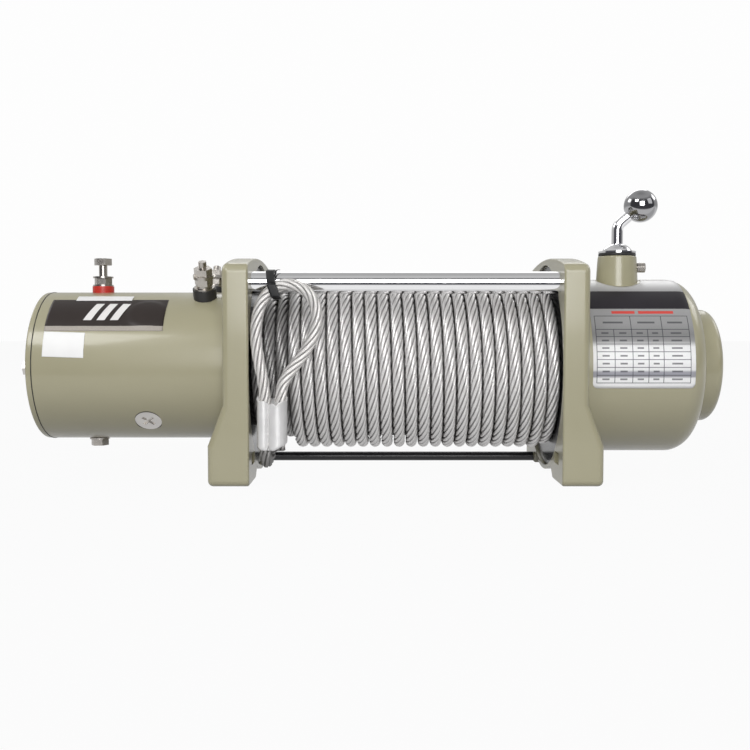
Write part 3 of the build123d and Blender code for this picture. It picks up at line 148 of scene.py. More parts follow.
floor_data = bpy.data.meshes.new("floor")
corners = [(x * FLOOR_REACH, y * FLOOR_REACH, 0) for x, y in ((-1, -1), (1, -1), (1, 1), (-1, 1))]
floor_data.from_pydata(corners, [], [(0, 1, 2, 3)])
floor = bpy.data.objects.new("floor", floor_data)
bpy.context.scene.collection.objects.link(floor)
paper = bpy.data.materials.new("white_paper")
paper.use_nodes = True
tree = paper.node_tree
tree.nodes.remove(tree.nodes["Principled BSDF"])
path, mirrored = seen_by_mirrors(tree)
depth = split(tree, add(tree, "ShaderNodeNewGeometry").outputs["Position"])["Y"]
# in reflections the paper darkens under the object, as its shadow does there
past_front = between(tree, depth, 0.0, 1.0, *SHADE_FRONT_Y)
shade = arith(tree, "MINIMUM", past_front, between(tree, depth, 1.0, 0.0, *SHADE_BACK_Y))
on_table = between(tree, depth, 0.0, 1.0, *TABLE_EDGE_Y)
bright = arith(tree, "MULTIPLY_ADD", shade, -SHADE_DEPTH, on_table)
on_paper = arith(tree, "MAXIMUM", bright, path["Is Camera Ray"])
glow_tone = blend(tree, on_paper, DIM_ROOM, grey(1.0))
glow = add(tree, "ShaderNodeEmission", {"Color": glow_tone}).outputs[0]
matt = add(tree, "ShaderNodeBsdfDiffuse", {"Color": PAPER_MATT}).outputs[0]
share = arith(tree, "MULTIPLY", mirrored, PAPER_GLOW)
mixed = add(tree, "ShaderNodeMixShader", {0: share, 1: matt, 2: glow}).outputs[0]
tree.links.new(mixed, tree.nodes["Material Output"].inputs["Surface"])
floor_data.materials.append(paper)


def soft_box(name, place, aim, size, power):
    """Rectangular lamp at a place, turned to shine on a point."""
    lamp = bpy.data.objects.new(name, bpy.data.lights.new(name, "AREA"))
    lamp.data.shape = "RECTANGLE"
    lamp.data.size, lamp.data.size_y = size
    lamp.data.energy = power
    lamp.location = place
    lamp.rotation_euler = (Vector(aim) - Vector(place)).to_track_quat("-Z", "Y").to_euler()
    lamp.visible_camera = False
    bpy.context.scene.collection.objects.link(lamp)


soft_box("front_box", (0.05, -1.55, 0.52), (0, 0, 0.09), (0.85, 0.85), 14.5)
soft_box("left_box", (-0.85, -1.05, 1.12), (-0.15, 0, 0.09), (0.60, 0.50), 7.0)
soft_box("right_box", (1.4, -0.9, 0.9), (0, 0, 0.09), (0.9, 0.9), 2.6)
soft_box("back_box", (0.2, 1.5, 1.25), (0, 0, 0.09), (1.4, 0.7), 6.5)
soft_box("left_side_box", (-1.35, 0.45, 1.05), (0, 0, 0.12), (0.8, 0.5), 3.4)
soft_box("right_side_box", (1.45, 0.50, 1.05), (0, 0, 0.12), (0.8, 0.5), 3.1)


# Supports: cast aluminium end plates with flared feet, sprayed with a gloss olive paint.
# The paint follows the casting's faint unevenness and has a fine orange peel of its own.
FINISH_SCALES = ("Patch", "Grain", "Scratch")
FINISH_MARKS = ("Patches", "Grain", "Scratches")
SCRATCH_TURN = (0.5, 0.8, 0.6)
SCRATCH_STRETCH = (1.0, 14.0, 14.0)
SCRATCH_EDGE = (0.66, 0.72)
SCRATCH_DULL = 0.12
FINE_GRAIN = (0.15, 0.00005)
PLAIN_SCALES = (30.0, 900.0, 120.0)


def noise(tree, where, scale, detail):
    """Cloudy noise from 0 to 1."""
    inputs = {"Vector": where, "Scale": scale, "Detail": detail}
    return add(tree, "ShaderNodeTexNoise", inputs).outputs[0]


# uneven finish: soft patches, a fine grain and thin scratches, on the object's own coordinates
uneven = bpy.data.node_groups.new("uneven_finish", "ShaderNodeTree")
for socket in FINISH_SCALES:
    uneven.interface.new_socket(name=socket, in_out="INPUT", socket_type="NodeSocketFloat")
for socket in FINISH_MARKS:
    uneven.interface.new_socket(name=socket, in_out="OUTPUT", socket_type="NodeSocketFloat")
given = uneven.nodes.new("NodeGroupInput").outputs
result = uneven.nodes.new("NodeGroupOutput").inputs
where = add(uneven, "ShaderNodeTexCoord").outputs["Object"]
stretch = {"Vector": where, "Rotation": SCRATCH_TURN, "Scale": SCRATCH_STRETCH}
drawn_out = add(uneven, "ShaderNodeMapping", stretch).outputs[0]
patches = noise(uneven, where, given["Patch"], 3.0)
grain = noise(uneven, where, given["Grain"], 2.0)
scratches = noise(uneven, drawn_out, given["Scratch"], 1.0)
scratches = between(uneven, scratches, 0.0, 1.0, *SCRATCH_EDGE)
for mark, value in zip(FINISH_MARKS, (patches, grain, scratches)):
    uneven.links.new(value, result[mark])


def surface(name):
    """New material; returns it with its node tree and its Principled shader."""
    material = bpy.data.materials.new(name)
    material.use_nodes = True
    return material, material.node_tree, material.node_tree.nodes["Principled BSDF"]


def finish_marks(tree, scales):
    """The uneven finish placed in a material with its own scales: its output sockets."""
    node = tree.nodes.new("ShaderNodeGroup")
    node.node_tree = uneven
    for key, value in zip(FINISH_SCALES, scales):
        node.inputs[key].default_value = value
    return node.outputs


def relief(tree, heights, strength, depth):
    """Normal of a surface whose heights stand out by a depth in metres."""
    inputs = {"Height": heights, "Strength": strength, "Distance": depth}
    return add(tree, "ShaderNodeBump", inputs).outputs[0]


def uneven_material(name, low, high, rough, metallic, bump=FINE_GRAIN, scales=PLAIN_SCALES, **sockets):
    """Finish whose colour and gloss drift between two tones in patches. It is duller in its scratches,
    and its grain stands out."""
    material, tree, shader = surface(name)
    marks = finish_marks(tree, scales)
    tree.links.new(blend(tree, marks["Patches"], low, high), shader.inputs["Base Color"])
    gloss = between(tree, marks["Patches"], *rough)
    worn = arith(tree, "MULTIPLY_ADD", marks["Scratches"], SCRATCH_DULL, gloss)
    tree.links.new(worn, shader.inputs["Roughness"])
    tree.links.new(relief(tree, marks["Grain"], *bump), shader.inputs["Normal"])
    shader.inputs["Metallic"].default_value = metallic
    for socket, value in sockets.items():
        shader.inputs[socket.replace("_", " ")].default_value = value
    return material


def finish_nodes(material, *names):
    """Gives CAD nodes a finish."""
    for name in names:
        nodes[name].data.materials.clear()
        nodes[name].data.materials.append(material)


olive_paint = uneven_material(
    "olive_paint", (0.345, 0.323, 0.212), (0.385, 0.361, 0.240), (0.26, 0.36), 0.0,
    bump=(0.10, 0.0002), scales=(14.0, 700.0, 120.0), Coat_Weight=0.45, Coat_Roughness=0.10,
)
finish_nodes(olive_paint, "motor_side_support", "gear_side_support")


# Tie bars: two round steel bars, turned smooth and chromed, which are screwed between the supports
# and hold them apart. The rod under the drum is thinner, and blackened.
chrome = uneven_material(
    "chrome", (0.80, 0.80, 0.81), (0.87, 0.87, 0.88), (0.05, 0.10), 1.0,
    bump=(0.04, 0.00003), scales=(40.0, 500.0, 90.0),
)
black_oxide = uneven_material(
    "black_oxide", (0.008, 0.008, 0.010), (0.016, 0.016, 0.019), (0.20, 0.30), 0.0
)
finish_nodes(chrome, "front_tie_bar", "rear_tie_bar")
finish_nodes(black_oxide, "lower_tie_rod")


# Fasteners: zinc-plated steel screws and nuts, slightly warm where the plating is thin.
# The screws and bolts of the motor's body are brighter than the rest.
FASTENER_SCALES = (120.0, 1500.0, 200.0)
zinc = uneven_material(
    "zinc_plate", (0.36, 0.335, 0.31), (0.56, 0.53, 0.49), (0.20, 0.36), 1.0, scales=FASTENER_SCALES
)
bright_zinc = uneven_material(
    "bright_zinc", (0.58, 0.56, 0.54), (0.72, 0.70, 0.67), (0.26, 0.40), 1.0, scales=FASTENER_SCALES
)
finish_nodes(
    zinc, "tie_bar_screws", "mounting_nuts", "terminal_nuts", "terminal_studs", "ground_bolt",
    "gearbox_screws", "detent_screw",
)
finish_nodes(bright_zinc, "pole_screws", "motor_through_bolts")


# Motor: a rolled steel tube with a cast cap let into its end, both in the supports' paint.
# Two long bolts through the cap clamp it to its support. Sizes here are in mm.
MOTOR_R = 57.5
finish_nodes(olive_paint, "motor_housing", "motor_end_cap")


# Motor labels: printed film stuck round the tube. The long one is black over a silver strip and has
# three plain bars, and two white ones are bare. Sizes are in mm, and turns in degrees.
FILM_LIFT = 0.30
FILM_T = 0.18
FILM_ROWS, FILM_COLUMNS = 60, 40
FILM_SCALES = (45.0, 1500.0, 160.0)
FILM_GRAIN = (0.05, 0.00004)
FILM_SPECULAR = 0.28
POLE_SCREW_X, POLE_SCREW_TURN = -193.0, 45.0
SCREW_RISE, SCREW_REACH, SCREW_FADE = 0.60, 11.5, 5.0
SILVER_STRIP = 4.2
BAR_CENTRES = (27.0, 37.0, 47.0)
BAR_HALF, BAR_SLANT = 3.0, 0.38
BARS_MIDDLE, BARS_HALF = 18.5, 9.0


def put_mesh(name, points, faces, material, uv=None):
    """Mesh piece from points (n, 3) and blocks of faces (m, corners). Where a map is given, it has
    a block for each of faces, with a place on it for each corner."""
    data = bpy.data.meshes.new(name)
    data.from_pydata(points.reshape(-1, 3), [], [face for block in faces for face in block.tolist()])
    if uv is not None:
        layer = data.uv_layers.new(name="surface")
        layer.data.foreach_set("uv", np.concatenate([block.reshape(-1, 2) for block in uv]).ravel())
    data.polygons.foreach_set("use_smooth", np.ones(len(data.polygons), bool))
    data.update()
    data.materials.append(material)
    piece = bpy.data.objects.new(name, data)
    bpy.context.scene.collection.objects.link(piece)
    return piece


def grid_faces(rows, columns):
    """Quads of an open grid of points. Their normals are the row's direction crossed with the
    column's."""
    row, column = np.meshgrid(np.arange(rows - 1), np.arange(columns - 1), indexing="ij")
    corner = row * columns + column
    return np.stack([corner, corner + columns, corner + columns + 1, corner + 1], -1).reshape(-1, 4)


def about_axis(x, radius, turn):
    """Points round the drum's axis, (x, -r cos turn, r sin turn) from it: a turn of 0 is in front, and a
    quarter turn is on top."""
    return np.stack([x, -radius * np.cos(turn), AXIS_Z + radius * np.sin(turn)], -1)


def smooth_step(values, start, end):
    """0 before the start, 1 after the end, and 3 t² - 2 t³ between them."""
    t = np.clip((values - start) / (end - start), 0, 1)
    return t**2 * (3 - 2 * t)


def wrapped_film(name, x, turn, radius, material, lift=FILM_LIFT):
    """Film round the axis through a grid of x and turns, a lift above a radius. Its map is x and the
    length round the tube."""
    angle = np.radians(turn)
    points = about_axis(x / 1000, (radius + lift) / 1000, angle)
    quads = grid_faces(*x.shape)
    place = np.stack([x - x.min(), radius.max() * (angle - angle.min())], -1).reshape(-1, 2)
    film = put_mesh(name, points, [quads], material, [place[quads]])
    thick = film.modifiers.new("film", "SOLIDIFY")
    thick.thickness = FILM_T / 1000
    thick.offset = -1.0
    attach(film, "frame")


def motor_film(name, x_span, turn_span, material, tilt=0.0, lift=FILM_LIFT):
    """Rectangular film on the motor's tube, turned by a tilt for each mm along it. Over the pole screw it
    stands off a little more, by a smooth step of the distance from the screw."""
    rows, columns = np.linspace(*x_span, FILM_ROWS), np.linspace(*turn_span, FILM_COLUMNS)
    x, turn = np.meshgrid(rows, columns, indexing="ij")
    turn = turn - tilt * (x - x_span[0])
    from_screw = np.hypot(x - POLE_SCREW_X, np.radians(turn - POLE_SCREW_TURN) * MOTOR_R)
    rise = SCREW_RISE * smooth_step(-from_screw, -SCREW_REACH - SCREW_FADE, -SCREW_REACH)
    wrapped_film(name, x, turn, np.full_like(x, MOTOR_R), material, lift + rise)


def printed(name, rough):
    """Gloss film material; returns it with its tree, shader, map sockets and marks."""
    material, tree, shader = surface(name)
    place = split(tree, add(tree, "ShaderNodeUVMap", uv_map="surface").outputs[0])
    marks = finish_marks(tree, FILM_SCALES)
    tree.links.new(between(tree, marks["Patches"], *rough), shader.inputs["Roughness"])
    tree.links.new(relief(tree, marks["Grain"], *FILM_GRAIN), shader.inputs["Normal"])
    shader.inputs["Specular IOR Level"].default_value = FILM_SPECULAR
    return material, tree, shader, place["X"], place["Y"], marks


def near(tree, value, centre, reach):
    """1 where a value is within reach of a centre."""
    return arith(tree, "COMPARE", value, centre, reach)


def both(tree, first, second):
    """1 where two masks are."""
    return arith(tree, "MULTIPLY", first, second)


def any_of(tree, *masks):
    """1 where any mask is."""
    total = masks[0]
    for mask in masks[1:]:
        total = arith(tree, "MAXIMUM", total, mask)
    return total


black_film, tree, shader, along, around, marks = printed("black_label", (0.30, 0.42))
ink = blend(tree, marks["Patches"], (0.024, 0.018, 0.016), (0.036, 0.027, 0.024))
silver = blend(tree, marks["Grain"], (0.30, 0.27, 0.24), (0.48, 0.44, 0.39))
tone = blend(tree, arith(tree, "LESS_THAN", around, SILVER_STRIP), ink, silver)
slanted = arith(tree, "MULTIPLY_ADD", around, -BAR_SLANT, along)
bars = any_of(tree, *[near(tree, slanted, centre, BAR_HALF) for centre in BAR_CENTRES])
bars = both(tree, bars, near(tree, around, BARS_MIDDLE, BARS_HALF))
white_ink = blend(tree, marks["Patches"], (0.74, 0.72, 0.70), (0.86, 0.85, 0.83))
tree.links.new(blend(tree, bars, tone, white_ink), shader.inputs["Base Color"])
white_film = uneven_material(
    "white_label", (0.80, 0.80, 0.79), (0.90, 0.90, 0.89), (0.34, 0.46), 0.0, scales=(60.0, 1800.0, 90.0)
)
motor_film("motor_label", (-267.2, -179.3), (28.4, 62.0), black_film)
motor_film("motor_top_strip", (-249.7, -207.2), (60.3, 68.0), white_film, lift=0.55)
motor_film("motor_white_label", (-266.8, -236.4), (8.6, 28.0), white_film, tilt=0.035)


# Joints of the motor's body: the shade in the narrow gaps round the cap and the four pole screws is
# painted as a dark bead, which shows as a thin line round the tube's end and round each flat screw head.
JOINT_HALF_X, JOINT_HALF_R = 0.00042, 0.00030
CAP_JOINT_X, CAP_JOINT_R = -0.2750, 0.05752
HEAD_JOINT_R, HEAD_FACE_R = 0.01022, 0.05710
JOINT_ROWS, JOINT_COLUMNS = 180, 10
POLE_SCREW_TURNS = np.radians([45.0, 135.0, 225.0, 315.0])[:, None, None]
joint_shade = uneven_material(
    "joint_gap_shade", (0.020, 0.019, 0.014), (0.034, 0.032, 0.024), (0.45, 0.60), 0.0
)


def full_turn(steps):
    """Angles of equal steps round a full turn."""
    return np.linspace(0, 2 * np.pi, steps, endpoint=False)


def loop_faces(rows, columns):
    """Quads of a grid of points that is closed on itself both ways."""
    row, column = np.meshgrid(np.arange(rows), np.arange(columns), indexing="ij")
    here, there = row * columns, (row + 1) % rows * columns
    nearby = (column + 1) % columns
    return np.stack([here + column, there + column, there + nearby, here + nearby], -1).reshape(-1, 4)


def joint_shade_bead(name, points):
    """Bead of painted joint shade from loops (n, rows, columns, 3), each an ellipse carried round a
    circle.
    """
    loops, rows, columns = points.shape[:3]
    quads = loop_faces(rows, columns) + rows * columns * np.arange(loops)[:, None, None]
    bead = put_mesh(name, points, [quads.reshape(-1, 4)], joint_shade)
    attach(bead, "frame")


turn, v = np.meshgrid(full_turn(JOINT_ROWS), full_turn(JOINT_COLUMNS), indexing="ij")
# round the cap: at x + a cos v, and at a radius of r + b sin v from the axis
cap_x = CAP_JOINT_X + JOINT_HALF_X * np.cos(v)
joint_shade_bead("motor_cap_joint", about_axis(cap_x, CAP_JOINT_R + JOINT_HALF_R * np.sin(v), turn)[None])
# round a screw: at r + a cos v from the screw's axis, and as far out as its face or, where that is
# lower, the tube
ring = HEAD_JOINT_R + JOINT_HALF_R * np.cos(v)
side = ring * np.sin(turn)
tube = np.sqrt((MOTOR_R / 1000) ** 2 - side**2)
out = np.minimum(tube, HEAD_FACE_R) + JOINT_HALF_R * np.sin(v)
screw_y = side * np.sin(POLE_SCREW_TURNS) - out * np.cos(POLE_SCREW_TURNS)
screw_z = AXIS_Z + side * np.cos(POLE_SCREW_TURNS) + out * np.sin(POLE_SCREW_TURNS)
screw_x = np.broadcast_to(POLE_SCREW_X / 1000 + ring * np.cos(turn), screw_y.shape)
joint_shade_bead("pole_screw_joints", np.stack([screw_x, screw_y, screw_z], -1))


# Inside the motor: soft iron poles and core, coils of enamelled copper, and carbon brushes that are
# held on a laminated board. They are closed in by the tube and its cap.
iron = uneven_material("soft_iron", (0.20, 0.19, 0.18), (0.30, 0.29, 0.27), (0.40, 0.55), 1.0)
copper = uneven_material("enamelled_copper", (0.42, 0.14, 0.06), (0.55, 0.22, 0.10), (0.25, 0.40), 1.0)
board = uneven_material("laminated_board", (0.20, 0.10, 0.04), (0.28, 0.15, 0.06), (0.50, 0.65), 0.0)
carbon = uneven_material(
    "carbon_brush", (0.010, 0.010, 0.011), (0.030, 0.030, 0.032), (0.55, 0.70), 0.0
)
finish_nodes(iron, "motor_drive_plate", "field_poles", "armature_core")
finish_nodes(copper, "field_coils", "armature_windings", "commutator")
finish_nodes(board, "brush_plate")
finish_nodes(carbon, "brushes")


# Terminals: plated studs for the cables, which pass through the tube in moulded nylon insulators.
# The armature's is red and the field's are black, and nuts hold each stack of washers.
red_nylon = uneven_material(
    "red_insulator", (0.46, 0.022, 0.014), (0.56, 0.040, 0.028), (0.30, 0.42), 0.0
)
black_nylon = uneven_material(
    "black_insulator", (0.018, 0.017, 0.018), (0.032, 0.031, 0.032), (0.38, 0.52), 0.0
)
finish_nodes(red_nylon, "armature_insulator")
finish_nodes(black_nylon, "field_insulators")


# Gearbox: a cast cup with the clutch boss on top, closed by a round cap, both in the supports' paint.
# Six screws through the support hold it. Sizes here are in mm.
HOUSING_R = 67.5
HOUSING_EDGE = 18.0
HOUSING_EDGE_X = 205.3
BOSS_X, BOSS_Y, BOSS_R = 166.2, -12.0, 15.2
finish_nodes(olive_paint, "gear_housing", "gear_end_cover")


# Rating plate: silver film on the gearbox, cut out round the clutch boss and rounded at its lower
# corners. It is printed with a black band, two red bars and a ruled table of dashes. Sizes are in mm.
PLATE_X = (136.0, 210.6)
PLATE_TURN = (-12.0, 80.0)
PLATE_CORNER = 3.5
PLATE_INSET = 4
PLATE_CUT_R = BOSS_R + 2.4
PLATE_ROWS = 44
PLATE_COLUMNS, PLATE_BEND_COLUMNS = 40, 9
TABLE_COLUMNS = (2.8, 28.8, 51.3, 70.8)
TABLE_SPLITS = (15.8, 40.4)
TABLE_ROWS, TABLE_LOW, TABLE_ROW = 7, 4.0, 5.66
TABLE_HEAD = TABLE_LOW + TABLE_ROWS * TABLE_ROW
TABLE_TOP = 54.8
LINE, LINE_INK, LINE_TONE = 0.25, 0.90, (0.04, 0.04, 0.05)
CELL_DASH, HEAD_DASH = 0.20, 0.28
CELL_DASH_ROW = (0.48, 0.11)
HEAD_DASH_HALF = 0.75
DASH_INK, DASH_TONE = 0.75, (0.05, 0.05, 0.06)
# bars and band: each a middle and half of its width
RED_BARS = ((24.5, 8.5), (48.5, 12.9))
RED_BAR_UP = (58.1, 1.25)
RED_TONE = (0.62, 0.075, 0.06)
BLACK_BAND_UP = (71.7, 10.2)
BRUSHED = (0.92, 1.08)
# tone of the foil up the plate, with painted reflections in light and dark bands, each place a share of
# its length
FOIL_LENGTH = 110.0
FOIL_REFLECTIONS = (
    (0.0, grey(0.86)), (0.068, grey(0.86)), (0.078, (0.34, 0.34, 0.37)), (0.108, (0.36, 0.36, 0.40)),
    (0.122, grey(0.80)), (0.20, grey(0.90)), (0.275, grey(0.84)), (0.315, grey(0.30)),
    (0.36, grey(0.22)), (0.44, grey(0.30)), (0.56, grey(0.33)), (0.76, grey(0.36)), (0.90, grey(0.74)),
    (1.0, grey(0.80)),
)

# columns: closer together in the rounded corners and at the ends of the cut
bend = PLATE_CORNER * (1 - np.cos(np.linspace(0, np.pi / 2, PLATE_BEND_COLUMNS)))
even = np.linspace(PLATE_X[0] + PLATE_INSET, PLATE_X[1] - PLATE_INSET, PLATE_COLUMNS)
at_cut = BOSS_X + PLATE_CUT_R * np.cos(np.linspace(0, np.pi, PLATE_COLUMNS))
columns = np.concatenate([PLATE_X[0] + bend, even, at_cut, PLATE_X[1] - bend])
columns = np.unique(columns.round(4))
# lower edge: straight, with a quarter circle at each end; upper edge: straight, with a round cut for
# the boss
from_end = np.minimum(np.minimum(columns - PLATE_X[0], PLATE_X[1] - columns), PLATE_CORNER)
rise = PLATE_CORNER - np.sqrt(PLATE_CORNER**2 - (PLATE_CORNER - from_end) ** 2)
lower = PLATE_TURN[0] + np.degrees(rise / HOUSING_R)
cut = np.sqrt(np.maximum(PLATE_CUT_R**2 - (columns - BOSS_X) ** 2, 0)) - BOSS_Y
cut_turn = np.degrees(np.arccos(cut / HOUSING_R))
upper = np.where(np.abs(columns - BOSS_X) < PLATE_CUT_R, cut_turn, PLATE_TURN[1])
upper = np.minimum(upper, PLATE_TURN[1])
share = np.linspace(0, 1, PLATE_ROWS)
turn = lower[:, None] + (upper - lower)[:, None] * share
x = np.broadcast_to(columns[:, None], turn.shape)
# the housing is a cylinder that ends in a rounded edge
past = np.maximum(x - HOUSING_EDGE_X, 0)
radius = HOUSING_R - HOUSING_EDGE + np.sqrt(HOUSING_EDGE**2 - past**2)


def within(tree, value, low, high, spare=0.0):
    """1 where a value is between low and high, with a little to spare."""
    return near(tree, value, (low + high) / 2, (high - low) / 2 + spare)


def dashes(tree, value, edges, share):
    """1 in the middle of each cell between edges, for a share of its width to each side."""
    cells = zip(edges, edges[1:])
    return any_of(tree, *[near(tree, value, (a + b) / 2, share * (b - a)) for a, b in cells])


silver_film, tree, shader, along, up, marks = printed("silver_label", (0.26, 0.38))
# the foil's tone up the plate is painted reflection, brushed by its grain
foil_and_reflections = ramp(tree, arith(tree, "DIVIDE", up, FOIL_LENGTH), *FOIL_REFLECTIONS)
brushed = {0: 1.0, 6: foil_and_reflections, 7: between(tree, marks["Grain"], *BRUSHED)}
foil_and_reflections = add(tree, "ShaderNodeMix", brushed, data_type="RGBA", blend_type="MULTIPLY").outputs[2]
in_table = within(tree, up, TABLE_LOW, TABLE_TOP, LINE)
in_rows = within(tree, up, TABLE_LOW, TABLE_HEAD)
in_width = within(tree, along, TABLE_COLUMNS[0], TABLE_COLUMNS[-1], LINE)
uprights = any_of(tree, *[near(tree, along, c, LINE) for c in TABLE_COLUMNS])
splits = any_of(tree, *[near(tree, along, c, LINE) for c in TABLE_SPLITS])
levels = [TABLE_LOW + TABLE_ROW * n for n in range(TABLE_ROWS + 1)] + [TABLE_TOP]
rules = any_of(tree, *[near(tree, up, level, LINE) for level in levels])
lines = any_of(
    tree, both(tree, uprights, in_table), both(tree, splits, in_rows), both(tree, rules, in_width)
)
above = arith(tree, "SUBTRACT", up, TABLE_LOW)
row_share = arith(tree, "FRACT", arith(tree, "DIVIDE", above, TABLE_ROW))
cell_dashes = dashes(tree, along, sorted(TABLE_COLUMNS + TABLE_SPLITS), CELL_DASH)
cell_dashes = both(tree, cell_dashes, near(tree, row_share, *CELL_DASH_ROW))
cell_dashes = both(tree, cell_dashes, in_rows)
head_row = near(tree, up, (TABLE_HEAD + TABLE_TOP) / 2, HEAD_DASH_HALF)
head_dashes = both(tree, dashes(tree, along, TABLE_COLUMNS, HEAD_DASH), head_row)
all_dashes = arith(tree, "MULTIPLY", any_of(tree, cell_dashes, head_dashes), DASH_INK)
red_bars = any_of(tree, *[near(tree, along, *bar) for bar in RED_BARS])
red_bars = both(tree, red_bars, near(tree, up, *RED_BAR_UP))
black = blend(tree, marks["Patches"], (0.016, 0.014, 0.018), (0.026, 0.023, 0.028))
tone = blend(tree, all_dashes, foil_and_reflections, DASH_TONE)
tone = blend(tree, arith(tree, "MULTIPLY", lines, LINE_INK), tone, LINE_TONE)
tone = blend(tree, red_bars, tone, RED_TONE)
tone = blend(tree, near(tree, up, *BLACK_BAND_UP), tone, black)
tree.links.new(tone, shader.inputs["Base Color"])
wrapped_film("rating_plate", x, turn, radius, silver_film)


# Gear train, shafts and brake: cut gears, carriers and shafts of hardened and ground steel. The drum
# runs in plain bronze bushes, and the brake's shoes carry a pressed lining.
gear_steel = uneven_material("ground_steel", (0.42, 0.42, 0.43), (0.54, 0.54, 0.55), (0.22, 0.34), 1.0)
bronze = uneven_material("bush_bronze", (0.50, 0.30, 0.12), (0.60, 0.38, 0.17), (0.30, 0.42), 1.0)
lining = uneven_material("brake_lining", (0.10, 0.085, 0.07), (0.17, 0.14, 0.11), (0.70, 0.85), 0.0)
finish_nodes(
    gear_steel, "motor_bearings", "armature_shaft", "shaft_coupling", "drive_shaft", "first_sun_gear",
    "fixed_ring_gears", "first_carrier", "second_carrier", "third_carrier", "clutch_ring_gear",
    "drum_tube", *[f"{stage}_planet_{n}" for stage in ("first", "second", "third") for n in (1, 2, 3)],
)
finish_nodes(bronze, "drum_bushes")
finish_nodes(lining, "brake_shoes")


# Clutch lever: a bent steel arm with a ball knob, both chromed, the knob darker. It turns in the boss,
# over a rubber ring, and its crank pin slides a ring gear out of mesh.
rubber = uneven_material("seal_rubber", (0.012, 0.012, 0.012), (0.026, 0.026, 0.026), (0.45, 0.60), 0.0)
dark_chrome = uneven_material(
    "dark_chrome", (0.37, 0.37, 0.38), (0.42, 0.42, 0.43), (0.05, 0.09), 1.0,
    bump=(0.03, 0.00003), scales=(60.0, 500.0, 90.0),
)
finish_nodes(chrome, "clutch_lever")
finish_nodes(dark_chrome, "clutch_knob")
finish_nodes(rubber, "clutch_seal")


# Drum flanges: turned steel discs on the ends of the drum's tube, blackened and polished.
dark_steel = uneven_material(
    "dark_flange", (0.010, 0.010, 0.011), (0.024, 0.024, 0.026), (0.14, 0.22), 0.0
)
finish_nodes(dark_steel, "drum_flanges")


# Wound rope: six-strand galvanized wire rope in close turns. Its outer layer stops short of the
# motor-side flange, where turns of the layer below it show. The layers under them are a grooved bed.
ROPE_D = 0.009
ROPE_PITCH = 0.0095
RING_STEP = 0.003
STRANDS = 6
STRAND_LAY = 0.058
STRAND_CENTRE, STRAND_R = ROPE_D / 3, ROPE_D / 6
COLUMN_TURNS = np.radians([-30.0, -25.0, -12.0, 12.0, 25.0])
WIRES = 12
WIRE_LAY = 0.026
WIRE_SCALES = (60.0, 1200.0, 150.0)
# painted shade between wires and, darker, in the grooves between strands
WIRE_EDGE, WIRE_GAP_SHADE_TONE = 0.45, (0.50, 0.49, 0.485)
GROOVE_EDGE, GROOVE_SHADE_TONE = 0.55, (0.17, 0.167, 0.168)
# tone of the painted shade on the wound rope and the tail
PAINTED_SHADE_TONE = (0.030, 0.029, 0.028)
WIRE_RELIEF = (0.45, 0.0002)
WIRE_METALLIC = 0.62
OUTER_R, LOWER_R, BURIED_R = 0.0605, 0.0525, 0.0430
LAYER_X, LAYER_TURN = -0.077925, math.radians(-30)
LAYER_END_X = 0.1094
FIRST_TURN = LAYER_TURN - 2 * np.pi * (LAYER_END_X - LAYER_X) / ROPE_PITCH
CLIMB = math.radians(200)
DROP = (math.radians(180), math.radians(330))
LEAVE = math.radians(720)
STUB_END = np.array([-0.0986, -0.0320, AXIS_Z - 0.0561])
STUB_RINGS = 12
SHOWN = (math.radians(735), math.radians(1225))
SHOWN_RISE = math.radians(40)
BED_END_X, BED_STEP_X = 0.1142, -0.08303
BED_R = (0.0476, 0.0556)
BED_RINGS = (66, 420)
BED_COLUMNS = 96
BED_DIP = 0.0018
BED_STRANDS, BED_LAY = 18.0, 900.0
# painted shade in the bed's strand grooves
BED_EDGE, BED_GROOVE_SHADE_TONE = 0.6, (0.025, 0.025, 0.026)
BED_ROUGH = (0.45, 0.60)
BED_RELIEF = (0.8, 0.0008)
BED_METALLIC = 0.5


def tube_faces(rings, columns):
    """Quads of a tube of rings, each ring closed on itself, and triangles that close its two ends."""
    ring, column = np.meshgrid(np.arange(rings - 1), np.arange(columns), indexing="ij")
    nearby = (column + 1) % columns
    here, there = ring * columns, (ring + 1) * columns
    quads = np.stack([here + column, here + nearby, there + nearby, there + column], -1).reshape(-1, 4)
    column, nearby = np.arange(columns), (np.arange(columns) + 1) % columns
    last, start, end = (rings - 1) * columns, rings * columns, rings * columns + 1
    first_cap = np.stack([nearby, column, np.full(columns, start)], -1)
    last_cap = np.stack([last + column, last + nearby, np.full(columns, end)], -1)
    return quads, np.concatenate([first_cap, last_cap])


def put_tube(name, rings, ends, material):
    """Closed piece from rings (n, columns, 3) that turn with the way they go, and the middle of each
    end."""
    points = np.concatenate([rings.reshape(-1, 3), ends])
    return put_mesh(name, points, tube_faces(*rings.shape[:2]), material)


def unit(vectors):
    """Vectors divided by their lengths."""
    return vectors / np.linalg.norm(vectors, axis=-1, keepdims=True)


def distance_along(line):
    """Distance run along a line, from 0 at its first point."""
    return np.concatenate([[0.0], np.cumsum(np.linalg.norm(np.diff(line, axis=0), axis=1))])


def line_frame(line, side):
    """Distance run along a line, and two directions square to it, the first nearest to a side and the
    second square to that."""
    run = distance_along(line)
    way = unit(np.gradient(line, run, axis=0))
    first = unit(side - (side * way).sum(1, keepdims=True) * way)
    return run, first, np.cross(way, first)


def circle_reach(centre, radius, turn):
    """Distance to the far side of a circle whose centre is c away, at a turn p from the centre's
    direction: c cos p + sqrt(r² - c² sin² p)."""
    return centre * np.cos(turn) + np.sqrt(np.maximum(radius**2 - (centre * np.sin(turn)) ** 2, 0))


def at_corners(values, rings):
    """Values at the edges of one strand's columns, given to the corners of each quad of all strands."""
    left, right = np.tile(values[:-1], STRANDS), np.tile(values[1:], STRANDS)
    corners = np.stack([left, right, right, left], -1)
    return np.broadcast_to(corners, (rings - 1, *corners.shape))


